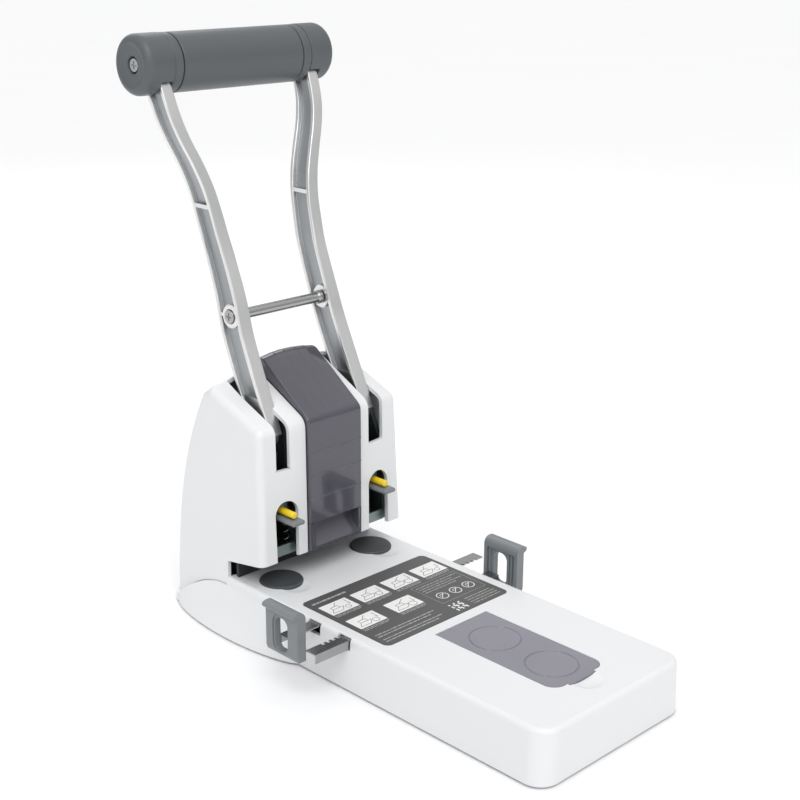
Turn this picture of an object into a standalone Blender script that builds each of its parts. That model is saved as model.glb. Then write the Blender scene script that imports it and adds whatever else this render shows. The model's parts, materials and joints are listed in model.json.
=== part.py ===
"""Heavy-duty two-hole lever punch, modelled as separate parts in metres.

X runs across the machine, the paper enters from -Y and +Z is up. X = 0 is the
middle of the machine, Y = 0 is the front of the tower and Z = 0 is the table.
"""

import math

import bmesh
import bpy
from mathutils import Matrix

SIDES = {"left": -1, "right": 1}

# Play between parts that touch, and the usual moulded wall.
GAP = 0.0003
WALL = 0.0025

# Base housing. The rear curve is where the sides turn in to the rear face.
DECK_Z = 0.0356
SKIRT_BOTTOM = 0.0012
BASE_FRONT = -0.239
BASE_REAR = 0.098
BASE_HALF = 0.065
BASE_DRAFT = 0.002
BASE_CORNER = 0.013
DECK_FILLET = 0.003
REAR_CURVE_START = 0.084
FLARE_MOST = 0.012
FLARE_MIDDLE = 0.022
FLARE_REACH = 0.062
CREST_Z = 0.0298
CREST_FLAT_TO = 0.034
CREST_FALL = 0.058
CREST_LEAST = 0.0065
CREST_STATIONS = (0.042, 0.052, 0.062, 0.070, 0.078, 0.0855)
WELL = ((-0.056, 0.0307, 0.005), (0.056, 0.082, 0.050))
SCOOP_R = 0.0105
SCOOP_SHIFT = (0.001, -0.0133)
LABEL_HALF = 0.054
LABEL_Y = (-0.109, -0.0305)
LABEL_CORNER = 0.004
RECESS = 0.0006

# Heights that the cutters of the deck reach up to and the side cutters reach out to.
ABOVE_DECK = 0.050
OUTSIDE = 0.090

# Punching unit: hole spacing, stroke and the lever's pinion and racks.
HOLE_X = 0.040
HOLE_Y = 0.014
CUTTER_R = 0.003
CUTTER_BORE_R = 0.0022
DISC_X = 0.0397
DISC_Y = 0.005
DISC_R = 0.014
DISC_TOP = 0.0366
DISC_BOTTOM = 0.031
CUTTER_TIP = 0.0539
PIVOT_Y = 0.030
PIVOT_Z = 0.124
PIVOT_R = 0.004
MODULE = 0.002
TEETH = 15
PITCH_R = MODULE * TEETH / 2
PRESSURE = math.radians(20)
BACKLASH = 0.0003
GEAR_ADDENDUM = 0.0016
GEAR_DEDENDUM = 0.0019
RACK_ADDENDUM = 0.0014
RACK_DEDENDUM = 0.0021
RACK_X = (0.0268, 0.0330)

# Side plates of the steel C-frames, as ranges of distance from the middle.
INNER_PLATE = (0.0237, 0.0264)
OUTER_PLATE = (0.0505, 0.0535)

# Tower. Its rear is one curve, from the top edge down to the foot, as (Y, Z) control points.
REAR_CURVE = ((0.0550, 0.1610), (0.0800, 0.1210), (0.0912, 0.0750), (0.0912, 0.0068))
REAR_STEPS = 6
CHEEK_FRONT_FOOT = (-0.0030, 0.0529)
THROAT_TOP = 0.0468
CHEEK_INNER = 0.0235
STRIP_EDGE = 0.0343
CHEEK_DRAFT = 0.025
CHEEK_FOOT_X = 0.0628
CHEEK_ROUND = 0.0045
SLOT_X = {"left": (0.0343, 0.0493), "right": (0.0312, 0.0450)}
SLOT_BOTTOM = 0.1137
SLOT_REAR = 0.047
THROAT_REAR = 0.0325
WINDOW_R = 0.009
WINDOW_SPRING_Z = 0.0835

# Smoky chip cover and the bin under it.
COVER_HALF = 0.0228
COVER_WALL = 0.002
COVER_SEAM = 0.0725
COVER_HINGE = (0.045, 0.168)
COVER_BORE_R = 0.0018
KNUCKLE_R = 0.0037
COVER_BOTTOM = COVER_SEAM + 0.0002
COVER_CROWN = 0.0025

# Lever arms: height, distance from the middle, front face, depth and flange width.
ARM_STATIONS = (
    (0.1345, 0.0398, 0.0065, 0.0220, 0.0100),
    (0.1650, 0.0394, 0.0200, 0.0220, 0.0100),
    (0.1910, 0.0388, 0.0326, 0.0220, 0.0100),
    (0.2040, 0.0382, 0.0370, 0.0218, 0.0098),
    (0.2160, 0.0377, 0.0413, 0.0214, 0.0096),
    (0.2280, 0.0376, 0.0458, 0.0210, 0.0094),
    (0.2400, 0.0378, 0.0506, 0.0205, 0.0092),
    (0.2520, 0.0387, 0.0545, 0.0200, 0.0090),
    (0.2640, 0.0398, 0.0583, 0.0196, 0.0088),
    (0.2735, 0.0408, 0.0608, 0.0193, 0.0086),
    (0.2830, 0.0426, 0.0629, 0.0190, 0.0085),
    (0.2955, 0.0465, 0.0657, 0.0188, 0.0084),
    (0.3080, 0.0518, 0.0689, 0.0185, 0.0083),
    (0.3200, 0.0560, 0.0721, 0.0183, 0.0083),
    (0.3290, 0.0579, 0.0749, 0.0181, 0.0083),
    (0.3380, 0.0591, 0.0780, 0.0180, 0.0083),
    (0.3450, 0.0595, 0.0806, 0.0180, 0.0083),
    (0.3525, 0.0597, 0.0834, 0.0180, 0.0083),
)
FLANGE = 0.0030
WEB = 0.0026
HUB_X = (0.0334, 0.0501)
HUB_R = 0.009
BOSS_Y = 0.047
BOSS_Z = 0.2045
BOSS_R = 0.0078
RIB_Z = 0.272

# Grip.
GRIP_Y = 0.095
GRIP_Z = 0.3587
GRIP_R = 0.0186
CAP_R = 0.0188
GRIP_HALF = 0.0752
TUBE_HALF = 0.0478
CAP_START = 0.0484
CAP_SEAM = 0.055
ROD_R = 0.004

# Side guides. Rail B and its notches mirror rail A about this line.
RAIL_MIRROR_Y = -0.0675
RAIL_TOP = 0.034
RAIL_SHEET = 0.001
RAIL_REAR = -0.0495
RAIL_FRONT = -0.0585
RAIL_FLANGE_Z = 0.028
RAIL_CHANNELS = ((-0.0592, -0.0480), (-0.0865, -0.0762))
RAIL_CHANNEL_Z = 0.0272
NOTCH_PITCH = 0.004
NOTCHES = 20
FENCE_TOP = 0.057
FENCE_FOOT = 0.0247
FENCE_ROUND = 0.0045
FENCE_THICK = 0.0065
FENCE_LENGTH = 0.029

# Spare-disc compartment.
LID_HALF = 0.0225
LID_FRONT = -0.211
LID_AXIS_Y = -0.119
LID_AXIS_Z = 0.0346
LID_CORNER = 0.008
LID_THICK = 0.002
LATCH_HALF = 0.0115
LATCH_FRONT = -0.213
TRAY_LOW = (-0.0245, -0.2145, 0.0240)
TRAY_HIGH = (0.0245, -0.1165, 0.0328)
SPARE_Y = (-0.1457, -0.1898)

COLOURS = {
    "housing_white": ((0.80, 0.81, 0.82), 0.28, 0.0),
    "grip_grey": ((0.12, 0.135, 0.145), 0.45, 0.0),
    "guide_grey": ((0.19, 0.22, 0.235), 0.40, 0.0),
    "disc_dark": ((0.07, 0.075, 0.08), 0.55, 0.0),
    "smoke": ((0.14, 0.135, 0.17), 0.12, 0.0),
    "arm_silver": ((0.62, 0.63, 0.64), 0.35, 0.9),
    "steel": ((0.55, 0.56, 0.57), 0.30, 1.0),
    "frame_steel": ((0.30, 0.32, 0.31), 0.45, 0.8),
    "tool_steel": ((0.42, 0.43, 0.45), 0.22, 1.0),
    "pin_yellow": ((0.90, 0.72, 0.05), 0.35, 0.0),
    "rubber": ((0.03, 0.03, 0.03), 0.80, 0.0),
    "label_grey": ((0.10, 0.098, 0.095), 0.50, 0.0),
    "dark_plastic": ((0.04, 0.042, 0.045), 0.45, 0.0),
}


def clear_scene():
    for obj in list(bpy.data.objects):
        bpy.data.objects.remove(obj, do_unlink=True)


def new_collection(name):
    collection = bpy.data.collections.new(name)
    bpy.context.scene.collection.children.link(collection)
    return collection


def material(slot):
    found = bpy.data.materials.get(slot)
    if found:
        return found
    colour, roughness, metallic = COLOURS[slot]
    made = bpy.data.materials.new(slot)
    made.use_nodes = True
    shader = made.node_tree.nodes["Principled BSDF"]
    shader.inputs["Base Color"].default_value = (*colour, 1.0)
    shader.inputs["Roughness"].default_value = roughness
    shader.inputs["Metallic"].default_value = metallic
    return made


def own_material(obj, slot):
    """Gives the object its own copy of a slot's material."""
    copy = material(slot).copy()
    copy.name = f"{obj.name}_{slot}"
    obj.data.materials.clear()
    obj.data.materials.append(copy)


def mesh_object(name, mesh_edit):
    """Links an object whose mesh is whatever mesh_edit leaves, facing outwards."""
    bmesh.ops.recalc_face_normals(mesh_edit, faces=mesh_edit.faces)
    mesh = bpy.data.meshes.new(name)
    mesh_edit.to_mesh(mesh)
    mesh_edit.free()
    obj = bpy.data.objects.new(name, mesh)
    PARTS.objects.link(obj)
    return obj


def box(name, low, high):
    """A box between two corners given in any order."""
    edit = bmesh.new()
    bmesh.ops.create_cube(edit, size=1.0)
    size = [abs(b - a) for a, b in zip(low, high)]
    middle = [(a + b) / 2 for a, b in zip(low, high)]
    bmesh.ops.scale(edit, vec=size, verts=edit.verts)
    bmesh.ops.translate(edit, vec=middle, verts=edit.verts)
    return mesh_object(name, edit)


def cylinder(name, radius, start, end, axis, centre, segments=32):
    """A cylinder along an axis letter, from start to end, about a centre in the other two."""
    edit = bmesh.new()
    depth = abs(end - start)
    bmesh.ops.create_cone(
        edit, cap_ends=True, segments=segments, radius1=radius, radius2=radius, depth=depth
    )
    turn = {
        "X": Matrix.Rotation(math.pi / 2, 4, "Y"),
        "Y": Matrix.Rotation(math.pi / 2, 4, "X"),
        "Z": Matrix.Identity(4),
    }[axis]
    bmesh.ops.transform(edit, matrix=turn, verts=edit.verts)
    place = list(centre)
    place.insert("XYZ".index(axis), (start + end) / 2)
    bmesh.ops.translate(edit, vec=place, verts=edit.verts)
    return mesh_object(name, edit)


def loft(name, rings):
    """A closed body through rings of points that all have the same count."""
    edit = bmesh.new()
    loops = [[edit.verts.new(point) for point in ring] for ring in rings]
    for lower, upper in zip(loops, loops[1:]):
        for i in range(len(lower)):
            j = (i + 1) % len(lower)
            edit.faces.new((lower[i], lower[j], upper[j], upper[i]))
    edit.faces.new(loops[0])
    edit.faces.new(loops[-1])
    return mesh_object(name, edit)


def flat_outline(name, outlines, start, end, plane):
    """A flat 2D outline (with holes as further outlines) made thick from start to end.

    The plane "YZ" is made thick along X, "XZ" along Y and "XY" along Z.
    """
    curve = bpy.data.curves.new(name, "CURVE")
    curve.dimensions = "2D"
    curve.fill_mode = "BOTH"
    curve.extrude = abs(end - start) / 2
    for points in outlines:
        spline = curve.splines.new("POLY")
        spline.points.add(len(points) - 1)
        for point, (u, v) in zip(spline.points, points):
            point.co = (u, v, 0, 1)
        spline.use_cyclic_u = True
    helper = bpy.data.objects.new(name + "_curve", curve)
    PARTS.objects.link(helper)
    middle = (start + end) / 2
    if plane == "YZ":
        helper.rotation_euler = (math.pi / 2, 0, math.pi / 2)
        helper.location.x = middle
    elif plane == "XZ":
        helper.rotation_euler = (math.pi / 2, 0, 0)
        helper.location.y = middle
    else:
        helper.location.z = middle
    return mesh_from_curve(name, helper)


def mesh_from_curve(name, helper):
    """Turns a curve object into a mesh object with its caps welded on."""
    bpy.context.view_layer.update()
    graph = bpy.context.evaluated_depsgraph_get()
    mesh = bpy.data.meshes.new_from_object(helper.evaluated_get(graph))
    edit = bmesh.new()
    edit.from_mesh(mesh)
    bmesh.ops.transform(edit, matrix=helper.matrix_world, verts=edit.verts)
    bmesh.ops.remove_doubles(edit, verts=edit.verts, dist=1e-6)
    bpy.data.meshes.remove(mesh)
    bpy.data.objects.remove(helper, do_unlink=True)
    return mesh_object(name, edit)


def turned(name, profile, axis, centre, steps=40):
    """A round part from a (radius, height) profile that runs down its outer side.

    A profile that starts and ends on the axis stays open, and any other is closed.
    """
    edit = bmesh.new()
    verts = [edit.verts.new((radius, 0, height)) for radius, height in profile]
    ends = verts[1:] if profile[0][0] == 0 else verts[1:] + verts[:1]
    for first, second in zip(verts, ends):
        edit.edges.new((first, second))
    obj = mesh_object(name, edit)
    screw = obj.modifiers.new("Turn", "SCREW")
    screw.steps = steps
    screw.render_steps = steps
    screw.use_merge_vertices = True
    screw.merge_threshold = 1e-5
    if axis == "X":
        obj.rotation_euler = (0, math.pi / 2, 0)
    obj.location = centre
    for polygon in obj.data.polygons:
        polygon.use_smooth = True
    return obj


def boolean(obj, other, operation):
    """Cuts, joins or intersects obj with a helper, which stays in the scene as a wire."""
    modifier = obj.modifiers.new(other.name, "BOOLEAN")
    modifier.object = other
    modifier.operation = operation
    modifier.solver = "EXACT"
    other.hide_render = True
    other.display_type = "WIRE"
    if other.name in PARTS.objects:
        PARTS.objects.unlink(other)
        CUTTERS.objects.link(other)


def cut(obj, *others):
    for other in others:
        boolean(obj, other, "DIFFERENCE")


def join(obj, *others):
    for other in others:
        boolean(obj, other, "UNION")


def round_edges(obj, width, segments=2, angle=40):
    bevel = obj.modifiers.new("Round", "BEVEL")
    bevel.width = width
    bevel.segments = segments
    bevel.limit_method = "ANGLE"
    bevel.angle_limit = math.radians(angle)


def arc(centre, radius, start, end, steps):
    """Points on an arc, in degrees."""
    found = []
    for i in range(steps + 1):
        turn = math.radians(start + (end - start) * i / steps)
        found.append((centre[0] + radius * math.cos(turn), centre[1] + radius * math.sin(turn)))
    return found


def rounded_rectangle(low, high, radius, steps=4):
    (x0, y0), (x1, y1) = low, high
    corners = ((x1, y1, 0), (x0, y1, 90), (x0, y0, 180), (x1, y0, 270))
    found = []
    for x, y, start in corners:
        centre_x = x + math.copysign(radius, (x0 + x1) / 2 - x)
        centre_y = y + math.copysign(radius, (y0 + y1) / 2 - y)
        found += arc((centre_x, centre_y), radius, start, start + 90, steps)
    return found


def inset_chain(points, distance):
    """An open chain of points moved sideways by distance, to the right of its direction."""
    found = []
    for i, point in enumerate(points):
        before = points[max(i - 1, 0)]
        after = points[min(i + 1, len(points) - 1)]
        normals = []
        for start, end in ((before, point), (point, after)):
            along = (end[0] - start[0], end[1] - start[1])
            length = math.hypot(*along)
            if length > 0:
                normals.append((along[1] / length, -along[0] / length))
        total = (sum(n[0] for n in normals), sum(n[1] for n in normals))
        scale = distance * len(normals) / (total[0] ** 2 + total[1] ** 2)
        found.append((point[0] + total[0] * scale, point[1] + total[1] * scale))
    return found


def body_axis(name, location, members):
    """An empty on a joint's axis, carrying the parts that move about it."""
    empty = bpy.data.objects.new(name, None)
    empty.location = location
    empty.empty_display_size = 0.01
    PARTS.objects.link(empty)
    for member in members:
        member.parent = empty
        member.matrix_parent_inverse = Matrix.Translation([-value for value in location])
    return empty


# ---------------------------------------------------------------- base


def crest(y):
    """Height at which the base meets the tower's side, behind the throat."""
    fall = max(y - CREST_FLAT_TO, 0) / CREST_FALL
    return max(CREST_Z * (1 - fall**2), CREST_LEAST)


def flare(y, z):
    """How far the foot of the base spreads beside the tower."""
    along = 1 - ((y - FLARE_MIDDLE) / FLARE_REACH) ** 2
    if along <= 0:
        return 0.0
    rise = 1 - z / CREST_Z
    if rise <= 0:
        return 0.0
    return FLARE_MOST * along**0.7 * rise**1.5


def plan_ring(z, inset):
    """The base's outline at one height, moved in by inset."""

    def half(y):
        return BASE_HALF - BASE_DRAFT * z / DECK_Z + flare(y, z) - inset

    radius = max(BASE_CORNER - inset, 0.001)
    front = BASE_FRONT + inset
    right = arc((half(front) - radius, front + radius), radius, -90, 0, 4)
    right += [(half(y), y) for y in (-0.040, -0.034, -0.022, -0.006)]
    right += [(half(y), y) for y in (0.012, 0.032, 0.048, 0.062, 0.074)]
    for i in range(6):
        turn = math.pi / 2 * i / 6
        x = half(REAR_CURVE_START) * math.cos(turn) ** 0.6
        y = REAR_CURVE_START + (BASE_REAR - inset - REAR_CURVE_START) * math.sin(turn) ** 0.8
        right.append((x, y))
    left = [(-x, y) for x, y in reversed(right)]
    return right + [(0, BASE_REAR - inset)] + left


def base_body(name, heights, inset):
    return loft(name, [[(x, y, z) for x, y in plan_ring(z, inset + more)] for z, more in heights])


def above_crest(name, drop):
    """Everything above the crest behind the throat, lowered and brought forward by drop."""
    line = [(y - drop, crest(y) - drop) for y in (THROAT_REAR,) + CREST_STATIONS]
    outline = line + [(0.12, CREST_LEAST - drop), (0.12, 0.06), (THROAT_REAR - drop, 0.06)]
    return flat_outline(name, [outline], -0.1, 0.1, "YZ")


def base_housing():
    fillet = []
    for degrees in (0, 45, 90):
        turn = math.radians(degrees)
        height = DECK_Z - DECK_FILLET * (1 - math.sin(turn))
        fillet.append((height, DECK_FILLET * (1 - math.cos(turn))))
    heights = [(z, 0) for z in (SKIRT_BOTTOM, 0.006, 0.013, 0.021)] + fillet
    housing = base_body("base_housing", heights, 0)
    hollow = base_body("hollow", [(z, 0) for z in (0.0, 0.006, 0.013, 0.021, DECK_Z - WALL)], WALL)
    cut(hollow, above_crest("crest_inside", WALL))
    cut(housing, above_crest("crest_outside", 0), hollow)
    cut(housing, box("tower_well", *WELL))
    cut_disc_pockets(housing)
    cut_rail_channels(housing)
    label = rounded_label(GAP)
    cut(housing, flat_outline("label_recess", [label], DECK_Z - RECESS, ABOVE_DECK, "XY"))
    cut_lid_opening(housing)
    return housing


def cut_disc_pockets(housing):
    """The seat of each cutting disc, and the shallow scoop beside it for a fingertip."""
    for side in SIDES.values():
        seat = (side * DISC_X, DISC_Y)
        scoop = (seat[0] + SCOOP_SHIFT[0], seat[1] + SCOOP_SHIFT[1])
        cut(housing, cylinder("disc_pocket", DISC_R + GAP, 0.026, ABOVE_DECK, "Z", seat, 32))
        cut(housing, cylinder("disc_scoop", SCOOP_R, DECK_Z - 0.0008, ABOVE_DECK, "Z", scoop, 24))


def cut_rail_channels(housing):
    """The two rail channels across the base, each open upwards where it leaves the side."""
    for front, rear in RAIL_CHANNELS:
        low, high = (-OUTSIDE, front, RAIL_CHANNEL_Z), (OUTSIDE, rear, RAIL_TOP + GAP)
        cut(housing, box("rail_channel", low, high))
        for side in SIDES.values():
            low, high = (side * 0.0615, front, RAIL_CHANNEL_Z), (side * OUTSIDE, rear, ABOVE_DECK)
            cut(housing, box("rail_notch", low, high))


def rounded_label(margin):
    low, high = (-LABEL_HALF - margin, LABEL_Y[0] - margin), (LABEL_HALF + margin, LABEL_Y[1] + margin)
    return rounded_rectangle(low, high, LABEL_CORNER + margin)


def lid_front(margin, latch):
    """The lid's rounded front edge from right to left, with the latch's step if asked for."""
    half, front = LID_HALF + margin, LID_FRONT - margin
    radius = LID_CORNER
    found = arc((half - radius, front + radius), radius, 0, -90, 4)
    if latch:
        side, tip = LATCH_HALF + margin, LATCH_FRONT - margin
        found += [(side, front), (side, tip), (-side, tip), (-side, front)]
    return found + arc((radius - half, front + radius), radius, -90, -180, 4)


def cut_lid_opening(housing):
    rear = LID_AXIS_Y + 0.0014
    opening = lid_front(GAP, True) + [(-LID_HALF - GAP, rear), (LID_HALF + GAP, rear)]
    cut(housing, flat_outline("lid_opening", [opening], 0.025, ABOVE_DECK, "XY"))
    cut(housing, cylinder("lid_scoop", 0.011, DECK_Z - 0.001, ABOVE_DECK, "Z", (0, -0.2156), 24))


def feet():
    found = []
    for place, y in (("front", -0.215), ("rear", 0.070)):
        for side, sign in SIDES.items():
            foot = cylinder(f"foot_{place}_{side}", 0.008, 0, SKIRT_BOTTOM, "Z", (sign * 0.048, y), 24)
            found.append(foot)
    found.append(box("foot_centre", (-0.040, -0.008, 0), (0.040, 0.008, SKIRT_BOTTOM)))
    return found


def detent_spring():
    """An oval spring band between the two rails."""
    rings = []
    for half_x, half_y in ((0.0115, 0.0083), (0.0110, 0.0078)):
        circle = arc((0, 0), 1, 0, 360, 24)[:-1]
        rings.append([(0.021 + x * half_x, RAIL_MIRROR_Y + y * half_y) for x, y in circle])
    return flat_outline("detent_spring", rings, 0.0290, 0.0325, "XY")


def base_parts():
    made = {"housing_white": [base_housing()]}
    plate = flat_outline("base_plate", [plan_ring(0.004, WALL + 0.0005)], 0.0015, 0.0035, "XY")
    outline = [(-0.090, 0.0235), (-0.045, 0.0235), (-0.045, 0.0276), (-0.0600, 0.0276)]
    outline += [(-0.0600, 0.0328), (-0.0752, 0.0328), (-0.0752, 0.0276), (-0.090, 0.0276)]
    carrier = flat_outline("rail_carrier", [outline], -0.057, 0.057, "YZ")
    cut(carrier, box("detent_pocket", (0.0085, -0.08, 0.0286), (0.0335, -0.055, 0.04)))
    tray = box("disc_compartment", TRAY_LOW, TRAY_HIGH)
    hollow = [value + 0.002 for value in TRAY_LOW], [value - 0.002 for value in TRAY_HIGH[:2]] + [ABOVE_DECK]
    cut(tray, box("tray_hollow", *hollow))
    spares = []
    for name, y in zip(("front", "rear"), reversed(SPARE_Y)):
        spares.append(cylinder(f"spare_disc_{name}", DISC_R, 0.0263, 0.0319, "Z", (0, y), 24))
    sticker = flat_outline("label_plate", [rounded_label(0)], 0.0353, 0.0357, "XY")
    made["dark_plastic"] = [plate, carrier, tray]
    made["rubber"] = feet()
    made["steel"] = [detent_spring()]
    made["disc_dark"] = spares
    made["label_grey"] = [sticker]
    return made


def spare_lid():
    outline = lid_front(0, False) + [(-LID_HALF, LID_AXIS_Y), (LID_HALF, LID_AXIS_Y)]
    lid = flat_outline("spare_lid", [outline], DECK_Z - LID_THICK, DECK_Z, "XY")
    barrel_half = LID_HALF - 0.0005
    join(lid, cylinder("lid_barrel", 0.0009, -barrel_half, barrel_half, "X", (LID_AXIS_Y, LID_AXIS_Z), 16))
    join(lid, box("lid_latch", (-LATCH_HALF, LATCH_FRONT, 0.0339), (LATCH_HALF, -0.2060, 0.0353)))
    body_axis("spare_lid_axis", (0, LID_AXIS_Y, LID_AXIS_Z), [lid])
    return {"smoke": [lid]}


# ---------------------------------------------------------------- punching unit


def frame_outline():
    lower = [(-0.010, 0.0038), (0.080, 0.0038), (0.080, 0.084), (0.060, 0.130), (0.050, 0.1365)]
    upper = [(0.020, 0.1365), (0.004, 0.100), (0.004, 0.053), (0.031, 0.053), (0.031, 0.0255)]
    return lower + upper + [(-0.010, 0.0255)]


def frames():
    """The two C-frames, each of an inner and an outer steel plate."""
    plates = []
    for side, sign in SIDES.items():
        for place, (near, far) in (("inner", INNER_PLATE), ("outer", OUTER_PLATE)):
            bore = arc((PIVOT_Y, PIVOT_Z), PIVOT_R + GAP, 0, 360, 16)[:-1]
            name = f"frame_plate_{side}_{place}"
            outlines = [frame_outline(), bore]
            if place == "inner":
                outlines.append(rounded_rectangle((0.008, 0.080), (0.026, 0.104), 0.003))
            plates.append(flat_outline(name, outlines, sign * near, sign * far, "YZ"))
    return {"frame_steel": plates}


def punch_plates():
    die = box("die_plate", (-0.056, -0.012, 0.0258), (0.056, 0.027, 0.0307))
    guides = []
    for side, sign in SIDES.items():
        outline = [(0.003, 0.0532), (0.030, 0.0532), (0.030, 0.0560), (0.005, 0.0560)]
        outline += [(0.005, 0.0605), (0.003, 0.0605)]
        guide = flat_outline(f"guide_plate_{side}", [outline], sign * 0.0268, sign * 0.0502, "YZ")
        cut(guide, cylinder("guide_bore", CUTTER_R + GAP, 0.05, 0.06, "Z", (sign * HOLE_X, HOLE_Y), 16))
        guides.append(guide)
    stop = box("back_stop", (-0.058, 0.0263, 0.0359), (0.058, 0.0283, 0.0525))
    return {"frame_steel": [die] + guides, "dark_plastic": [stop]}


def cutting_discs():
    discs = []
    for side, sign in SIDES.items():
        centre = (sign * DISC_X, DISC_Y)
        disc = cylinder(f"cutting_disc_{side}", DISC_R, DISC_BOTTOM, DISC_TOP, "Z", centre, 32)
        body_axis(f"cutting_disc_{side}_axis", (*centre, DISC_TOP), [disc])
        discs.append(disc)
    return {"disc_dark": discs}


def rack_outline():
    """The rack bar with its teeth towards +Y, in the YZ plane."""
    pitch_y = PIVOT_Y - PITCH_R
    pitch = math.pi * MODULE
    half = pitch / 4 - BACKLASH / 2
    tip = half - RACK_ADDENDUM * math.tan(PRESSURE)
    root = half + RACK_DEDENDUM * math.tan(PRESSURE)
    points = [(0.0075, 0.144), (0.0075, 0.090), (pitch_y - RACK_DEDENDUM, 0.090)]
    for k in range(-3, 3):
        middle = PIVOT_Z + (k + 0.5) * pitch
        points.append((pitch_y - RACK_DEDENDUM, middle - root))
        points.append((pitch_y + RACK_ADDENDUM, middle - tip))
        points.append((pitch_y + RACK_ADDENDUM, middle + tip))
        points.append((pitch_y - RACK_DEDENDUM, middle + root))
    points.append((pitch_y - RACK_DEDENDUM, 0.144))
    return points


def gear_outline():
    """An involute pinion with one tooth facing the rack at rest, in the YZ plane."""
    base_r = PITCH_R * math.cos(PRESSURE)
    outer_r = PITCH_R + GEAR_ADDENDUM
    root_r = PITCH_R - GEAR_DEDENDUM
    half_pitch_angle = (math.pi * MODULE / 4 - BACKLASH / 2) / PITCH_R

    def involute(radius):
        angle = math.acos(base_r / radius)
        return math.tan(angle) - angle

    flank = []
    for i in range(3):
        radius = base_r + (outer_r - base_r) * i / 2
        flank.append((radius, half_pitch_angle + involute(PITCH_R) - involute(radius)))
    points = []
    for tooth in range(TEETH):
        middle = math.pi + 2 * math.pi * tooth / TEETH
        sides = [(root_r, -flank[0][1])] + [(r, -a) for r, a in flank]
        sides += [(r, a) for r, a in reversed(flank)] + [(root_r, flank[0][1])]
        for radius, angle in sides:
            turn = middle + angle
            points.append((PIVOT_Y + radius * math.cos(turn), PIVOT_Z + radius * math.sin(turn)))
    return points


def coil(name, centre, bottom, top, radius, wire, turns):
    """A compression spring along Z with closed, level ends."""
    steps = 8
    curve = bpy.data.curves.new(name, "CURVE")
    curve.dimensions = "3D"
    curve.bevel_depth = wire
    curve.bevel_resolution = 0
    curve.use_fill_caps = True
    spline = curve.splines.new("POLY")
    count = int(turns * steps) + 1
    spline.points.add(count - 1)
    for i, point in enumerate(spline.points):
        turn = 2 * math.pi * i / steps
        height = bottom + wire + (top - bottom - 2 * wire) * i / (count - 1)
        point.co = (centre[0] + radius * math.cos(turn), centre[1] + radius * math.sin(turn), height, 1)
    helper = bpy.data.objects.new(name + "_curve", curve)
    PARTS.objects.link(helper)
    return mesh_from_curve(name, helper)


def rams():
    """Each ram with its rack, its hollow cutter, the tab and the yellow pin that frees the cutter."""
    made = {"frame_steel": [], "tool_steel": [], "guide_grey": [], "pin_yellow": [], "steel": []}
    for side, sign in SIDES.items():
        ram = flat_outline(f"ram_{side}", [rack_outline()], sign * RACK_X[0], sign * RACK_X[1], "YZ")
        block = box("ram_block", (sign * 0.0325, 0.006, 0.078), (sign * 0.0467, 0.022, 0.100))
        arm = box("ram_bridge", (sign * 0.0270, 0.0077, 0.0902), (sign * 0.0340, 0.0200, 0.0998))
        join(ram, arm, block)
        cut(ram, cylinder("ram_bore", CUTTER_R + GAP, 0.07, 0.11, "Z", (sign * HOLE_X, HOLE_Y), 16))
        cut(ram, cylinder("pin_bore", 0.0026, 0.0, 0.012, "Y", (sign * HOLE_X, 0.0850), 16))
        profile = [(CUTTER_BORE_R, 0.0965), (CUTTER_R, 0.0965), (CUTTER_R, 0.0777)]
        profile += [(0.0042, 0.0777), (0.0042, 0.0742), (CUTTER_R, 0.0742), (CUTTER_R, CUTTER_TIP)]
        profile += [(CUTTER_BORE_R, CUTTER_TIP + 0.0012)]
        cutter = turned(f"cutter_{side}", profile, "Z", (sign * HOLE_X, HOLE_Y, 0), 16)
        tab = box(f"latch_tab_{side}", (sign * 0.035, -0.0145, 0.0793), (sign * 0.045, 0.0057, 0.0823))
        round_edges(tab, 0.0008, 1)
        pin = cylinder(f"release_pin_{side}", 0.0023, -0.010, 0.0102, "Y", (sign * HOLE_X, 0.0850), 16)
        round_edges(pin, 0.0005, 1, 60)
        ram_axis = body_axis(f"ram_{side}_axis", (sign * HOLE_X, HOLE_Y, 0.089), [ram, cutter, tab])
        pin_axis = body_axis(f"release_pin_{side}_axis", (sign * HOLE_X, 0, 0.0850), [pin])
        pin_axis.parent = ram_axis
        pin_axis.matrix_parent_inverse = Matrix.Translation((-sign * HOLE_X, -HOLE_Y, -0.089))
        spring = coil(f"return_spring_{side}", (sign * 0.0298, 0.0115), 0.0566, 0.0895, 0.0023, 0.0004, 6)
        made["frame_steel"].append(ram)
        made["tool_steel"].append(cutter)
        made["guide_grey"].append(tab)
        made["pin_yellow"].append(pin)
        made["steel"].append(spring)
    return made


# ---------------------------------------------------------------- lever


def arm_section(z, middle, front, depth, width):
    """An I-section at one height: two flanges across and a web between them."""
    rear = front + depth
    edge, web = width / 2, WEB / 2
    inside_front, inside_rear = front + FLANGE, rear - FLANGE
    half = [(edge, front), (edge, inside_front), (web, inside_front), (web, inside_rear)]
    half += [(edge, inside_rear), (edge, rear)]
    points = half + [(-x, y) for x, y in reversed(half)]
    return [(middle + x, y, z) for x, y in points]


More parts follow.
